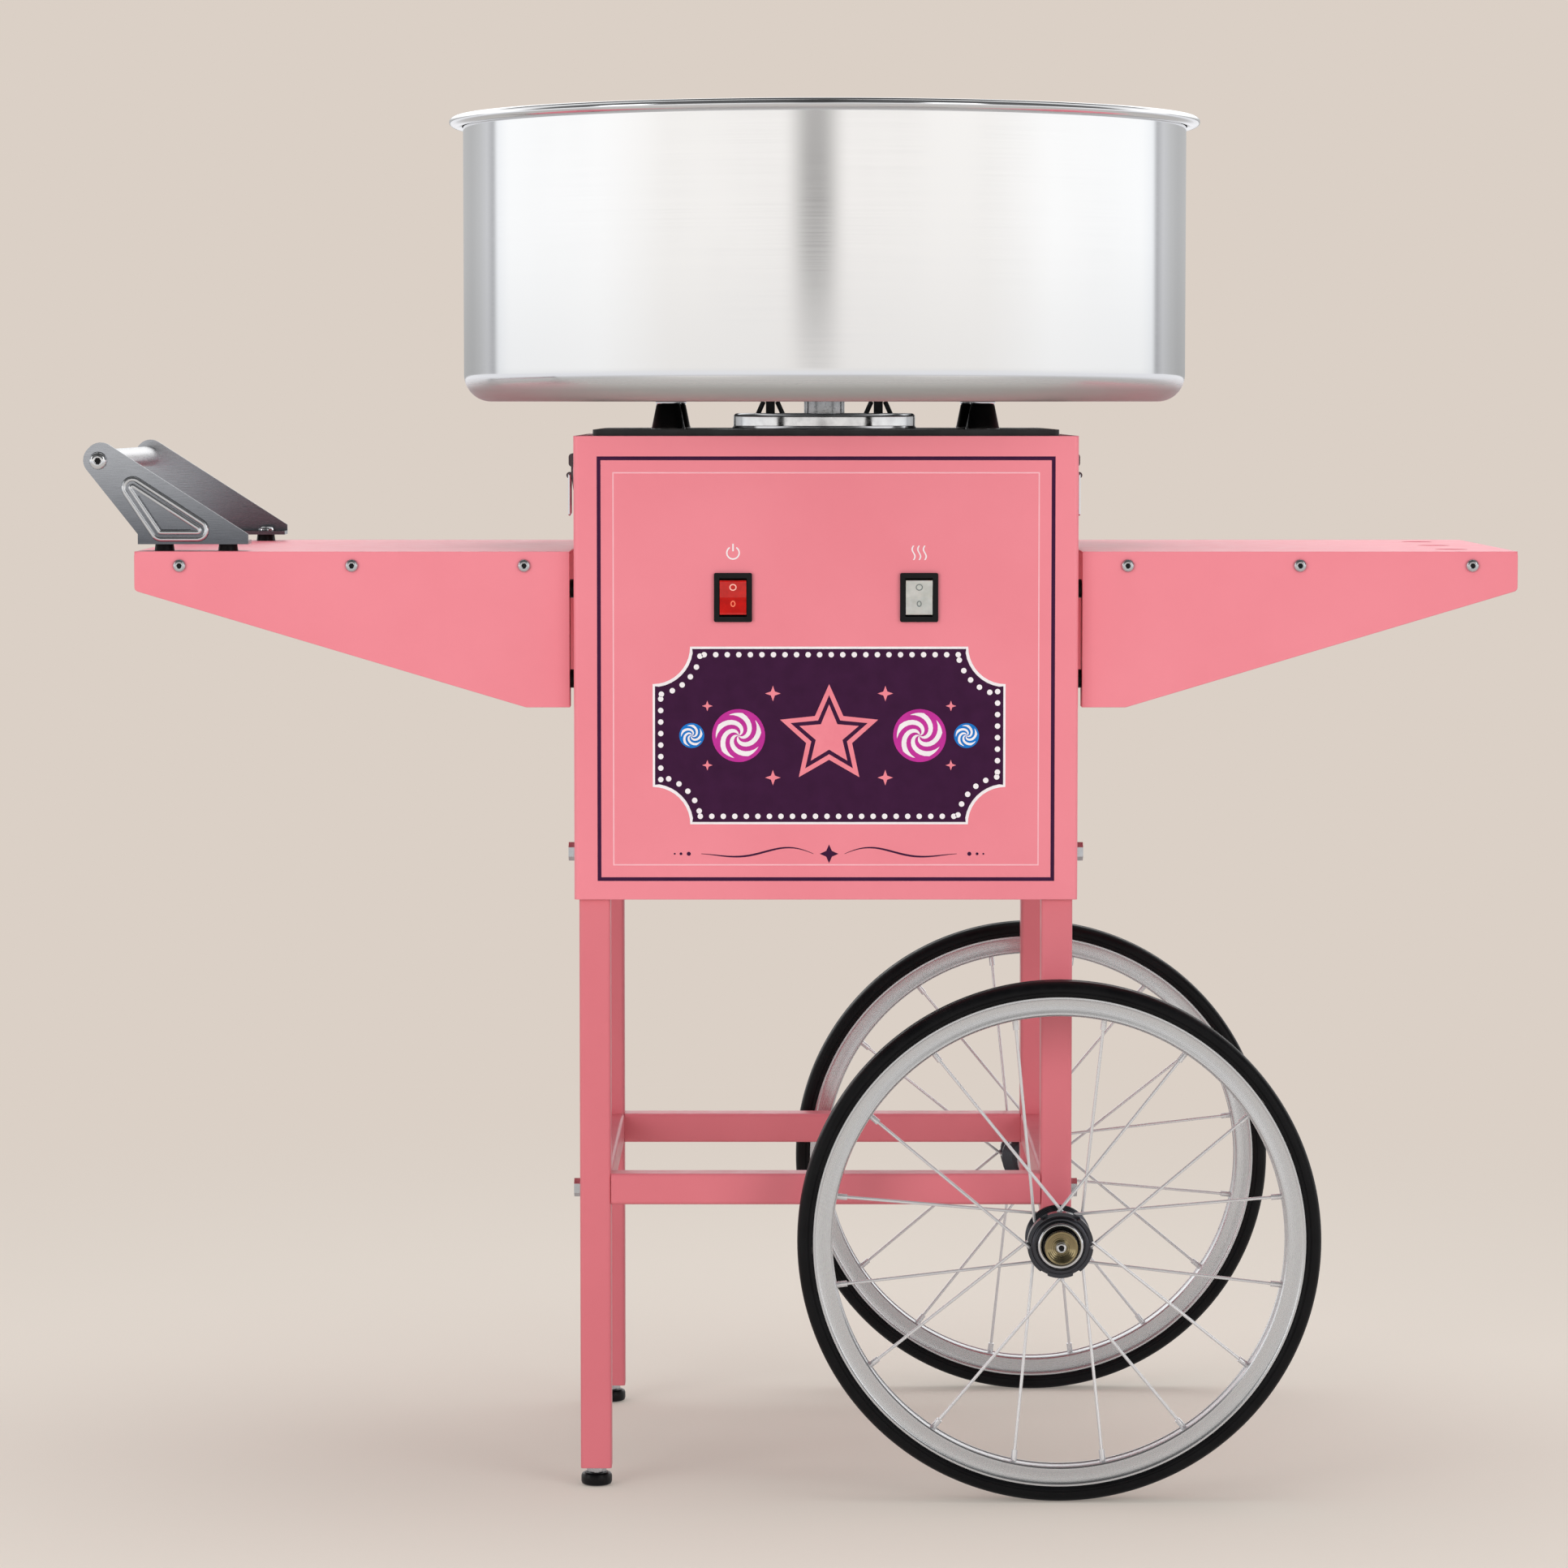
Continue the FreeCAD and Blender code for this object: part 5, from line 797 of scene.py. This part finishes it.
# marks over the switches: a power ring with its bar, and three heat waves
mark = {"x": 59.5, "z": 604.5, "ringOut": 4.4, "ringIn": 3.5, "open": (122, 418), "bar": 0.5, "barLow": 1,
        "barHigh": 5.8, "waveGap": 3.6, "sway": 0.9, "waveThick": 0.9, "waveHigh": 4.6, "steps": 16}
start, stop = mark["open"]
ring = arc(-mark["x"], mark["z"], mark["ringOut"], start, stop, 30)
ring += arc(-mark["x"], mark["z"], mark["ringIn"], stop, start, 30)
bar = boxLoop(mark["bar"], mark["z"] + mark["barLow"], mark["z"] + mark["barHigh"], -mark["x"])
flat("powerMark", [ring, bar], 0, "whiteInk")
waves = []
for k in (-1, 0, 1):
    mid = [(mark["x"] + k * mark["waveGap"] + mark["sway"] * math.sin(math.tau * t / mark["steps"]),
            mark["z"] + mark["waveHigh"] * (2 * t / mark["steps"] - 1)) for t in range(mark["steps"] + 1)]
    half = mark["waveThick"] / 2
    waves.append([(x - half, y) for x, y in mid] + [(x + half, y) for x, y in reversed(mid)])
flat("heatMark", waves, 0, "whiteInk")
print("front printed")

# camera: metres, radians down from level, focal length and frame in pixels
view = {"spot": (-0.0099, -3.6, 0.700), "down": 0.0707, "focal": 6628.4, "frame": 1932, "sensor": 36}
camera = bpy.data.objects.new("camera", bpy.data.cameras.new("camera"))
scene.collection.objects.link(camera)
camera.location = view["spot"]
camera.rotation_euler = (math.pi / 2 - view["down"], 0, 0)
camera.data.sensor_width = view["sensor"]
camera.data.lens = view["focal"] / view["frame"] * view["sensor"]
camera.data.clip_end = 100
scene.camera = camera

lamps = {"leftSoftbox": {"spot": (-2.1, -2.8, 1.2), "size": (1.8, 2.0), "power": 36},
         "rightSoftbox": {"spot": (2.2, -2.7, 1.1), "size": (1.8, 2.0), "power": 28},
         "topSoftbox": {"spot": (0.2, 0.3, 3.0), "size": (2.4, 2.0), "power": 40}}
lampAim = Vector((0, 0, 0.5))
for name, lamp in lamps.items():
    light = bpy.data.lights.new(name, "AREA")
    light.shape = "RECTANGLE"
    light.size, light.size_y = lamp["size"]
    light.energy = lamp["power"]
    holder = bpy.data.objects.new(name, light)
    holder.visible_glossy = False
    holder.location = lamp["spot"]
    holder.rotation_euler = (lampAim - holder.location).to_track_quat("-Z", "Y").to_euler()
    scene.collection.objects.link(holder)


def sums(tree, found, lines):
    # each line is a name, a kind of sum and its values, where a word stands for the result of that name
    # a step goes from its fourth value to its fifth as the first one passes from the second to the third
    for name, kind, *values in lines:
        inputs = [found[value] if isinstance(value, str) else value for value in values]
        if "STEP" in kind:
            found[name] = addNode(tree, "MapRange", inputs, interpolation_type=kind).outputs[0]
        else:
            found[name] = addNode(tree, "Math", inputs, operation=kind).outputs[0]
    return found


# studio: the background, an even soft light, and the room that bright metal reflects, with angles in radians
# boxes: angle, distance aside, inner edge, outer edge, light; slot: angle, reach, reach in the ceiling, darkness
# horizon: share of the way round to the back, then red, green, blue
studio = {"background": "#DBD0C6", "ambient": 0.58, "mirror": 1.27, "underFloorLine": 0.84,
          "bands": ((0.07, 0.16), (0.46, 0.54)), "boxes": (-0.22, 0.92, 0.12, 0.20, 1.4),
          "slot": (-0.055, 0.20, 0.62, 0.80),
          "horizon": [(0.0, 0.96, 0.925, 0.885), (0.28, 0.98, 0.95, 0.91), (0.42, 1.05, 1.04, 1.02),
                      (0.66, 1.02, 1.02, 1.01), (0.704, 0.92, 0.93, 0.94), (0.722, 0.42, 0.42, 0.43),
                      (0.75, 0.60, 0.60, 0.61), (0.79, 0.51, 0.51, 0.51), (0.84, 0.44, 0.44, 0.44),
                      (1.0, 0.42, 0.42, 0.42)]}
world = bpy.data.worlds.new("studio")
scene.world = world
world.use_nodes = True
tree = world.node_tree
tree.nodes.clear()
path = addNode(tree, "LightPath").outputs
way = addNode(tree, "SeparateXYZ", (addNode(tree, "TexCoord").outputs["Generated"],)).outputs
boxAngle, boxAside, boxIn, boxOut, boxBright = studio["boxes"]
slotAngle, slotWide, slotWideHigh, slotDark = studio["slot"]
found = sums(tree, {"x": way["X"], "y": way["Y"], "z": way["Z"]}, (
    ("back", "MULTIPLY", "y", -1.0),
    ("angle", "ARCTAN2", "x", "back"),   # 0 straight toward the camera's side of the room
    ("turnAway", "ABSOLUTE", "angle"),
    ("share", "DIVIDE", "turnAway", math.pi),
    # three bands: the horizon, softboxes above it, and a ceiling that is dark at the back
    ("lowBand", "SMOOTHSTEP", "z", *studio["bands"][0], 0.0, 1.0),
    ("highBand", "SMOOTHSTEP", "z", *studio["bands"][1], 0.0, 1.0),
    ("boxTurn", "ADD", "angle", -boxAngle),
    ("boxSide", "ABSOLUTE", "boxTurn"),
    ("boxOff", "SUBTRACT", "boxSide", boxAside),
    ("boxEdge", "ABSOLUTE", "boxOff"),
    ("sideBox", "SMOOTHSTEP", "boxEdge", boxIn, boxOut, boxBright, 0.0),
    ("backWall", "SMOOTHSTEP", "share", 0.55, 0.63, 0.14, 1.15),
    ("middle", "ADD", "backWall", "sideBox"),
    ("ceilingBack", "SMOOTHSTEP", "share", 0.56, 0.64, 0.10, 0.8),
    ("ceilingEnd", "SMOOTHSTEP", "share", 0.76, 0.86, 1.0, 0.1),
    ("ceiling", "MULTIPLY", "ceilingBack", "ceilingEnd"),
    # a soft dark slot nearly straight ahead, wider in the ceiling
    ("slotTurn", "ADD", "angle", -slotAngle),
    ("slotAside", "ABSOLUTE", "slotTurn"),
    ("slotReach", "MULTIPLY_ADD", "highBand", slotWideHigh - slotWide, slotWide),
    ("slot", "SMOOTHERSTEP", "slotAside", 0.0, "slotReach", slotDark, 0.0),
    ("slotFoot", "SMOOTHSTEP", "z", 0.008, 0.032, 0.0, 1.0),
    ("slotUpper", "SMOOTHSTEP", "z", 0.026, 0.052, 1.0, 0.6),
    ("slotRise", "MULTIPLY", "slotFoot", "slotUpper"),
    ("dark", "MULTIPLY", "slot", "slotRise"),
    ("light", "SUBTRACT", 1.0, "dark"),
    ("floorLine", "SMOOTHSTEP", "z", 0.0, 0.036, studio["underFloorLine"] * studio["mirror"], studio["mirror"]),
    ("level", "MULTIPLY", "light", "floorLine"),
    ("shiny", "MAXIMUM", path["Is Glossy Ray"], path["Is Transmission Ray"]),
))
ramp = addNode(tree, "ValToRGB", (found["share"],))
while len(ramp.color_ramp.elements) < len(studio["horizon"]):
    ramp.color_ramp.elements.new(0.5)
for stop, (place, *colour) in zip(ramp.color_ramp.elements, studio["horizon"]):
    stop.position, stop.color = place, (*colour, 1)
reflected = ramp.outputs[0]
for band, filling in (("lowBand", "middle"), ("highBand", "ceiling")):
    mixed = addNode(tree, "Mix", {0: found[band], 6: reflected, 7: found[filling]}, data_type="RGBA")
    reflected = mixed.outputs[2]
background = toLinear(studio["background"])
seen = addNode(tree, "Background", {"Color": background, "Strength": 1.0})
soft = addNode(tree, "Background", {"Color": (1, 1, 1, 1), "Strength": studio["ambient"]})
mirror = addNode(tree, "Background", {"Color": reflected, "Strength": found["level"]})
withMirror = addNode(tree, "MixShader", (found["shiny"], soft, mirror))
addNode(tree, "OutputWorld", (addNode(tree, "MixShader", (path["Is Camera Ray"], withMirror, seen)),))

# floor: fades into the background for the camera; metal sees it greyer near the cart and brighter far away
ground = {"colour": "#E3DCD3", "inMetal": "#B9B9BB", "fade": (0.3, 1.9), "least": 0.3, "far": (1.2, 6.0),
          "greying": 0.4, "side": 30, "drop": 0.5 * mm}
floor = bpy.data.materials.new("paleFloor")
floor.use_nodes = True
tree = floor.node_tree
tree.nodes.clear()
path = addNode(tree, "LightPath").outputs
place = addNode(tree, "TexCoord").outputs["Object"]
distance = addNode(tree, "VectorMath", (place,), operation="LENGTH").outputs["Value"]
found = sums(tree, {"distance": distance, "seen": path["Is Camera Ray"], "glossy": path["Is Glossy Ray"]}, (
    ("fading", "SMOOTHSTEP", "distance", *ground["fade"], ground["least"], 1.0),
    ("fade", "MULTIPLY", "fading", "seen"),
    ("farAway", "SMOOTHSTEP", "distance", *ground["far"], 0.0, 1.0),
    ("bright", "MULTIPLY_ADD", "farAway", 1.0, 1.0),
    ("greying", "MULTIPLY_ADD", "farAway", 1 - ground["greying"], ground["greying"]),
    ("inMetal", "MULTIPLY", "glossy", "greying"),
))
matt = addNode(tree, "BsdfDiffuse", {"Color": toLinear(ground["colour"])})
glow = addNode(tree, "Emission", {"Color": background, "Strength": 1.0})
greyed = addNode(tree, "Emission", {"Color": toLinear(ground["inMetal"]), "Strength": found["bright"]})
seen = addNode(tree, "MixShader", (found["fade"], matt, glow))
addNode(tree, "OutputMaterial", (addNode(tree, "MixShader", (found["inMetal"], seen, greyed)),))
corners = [(sx * ground["side"], sy * ground["side"], 0) for sx, sy in ((-1, -1), (1, -1), (1, 1), (-1, 1))]
plane = bpy.data.objects.new("studioFloor", makeMesh(corners, [(0, 1, 2, 3)]))
plane.data.materials.append(floor)
scene.collection.objects.link(plane)
plane.location.z = -ground["drop"]
scene.view_settings.view_transform = "Standard"
print("studio set")
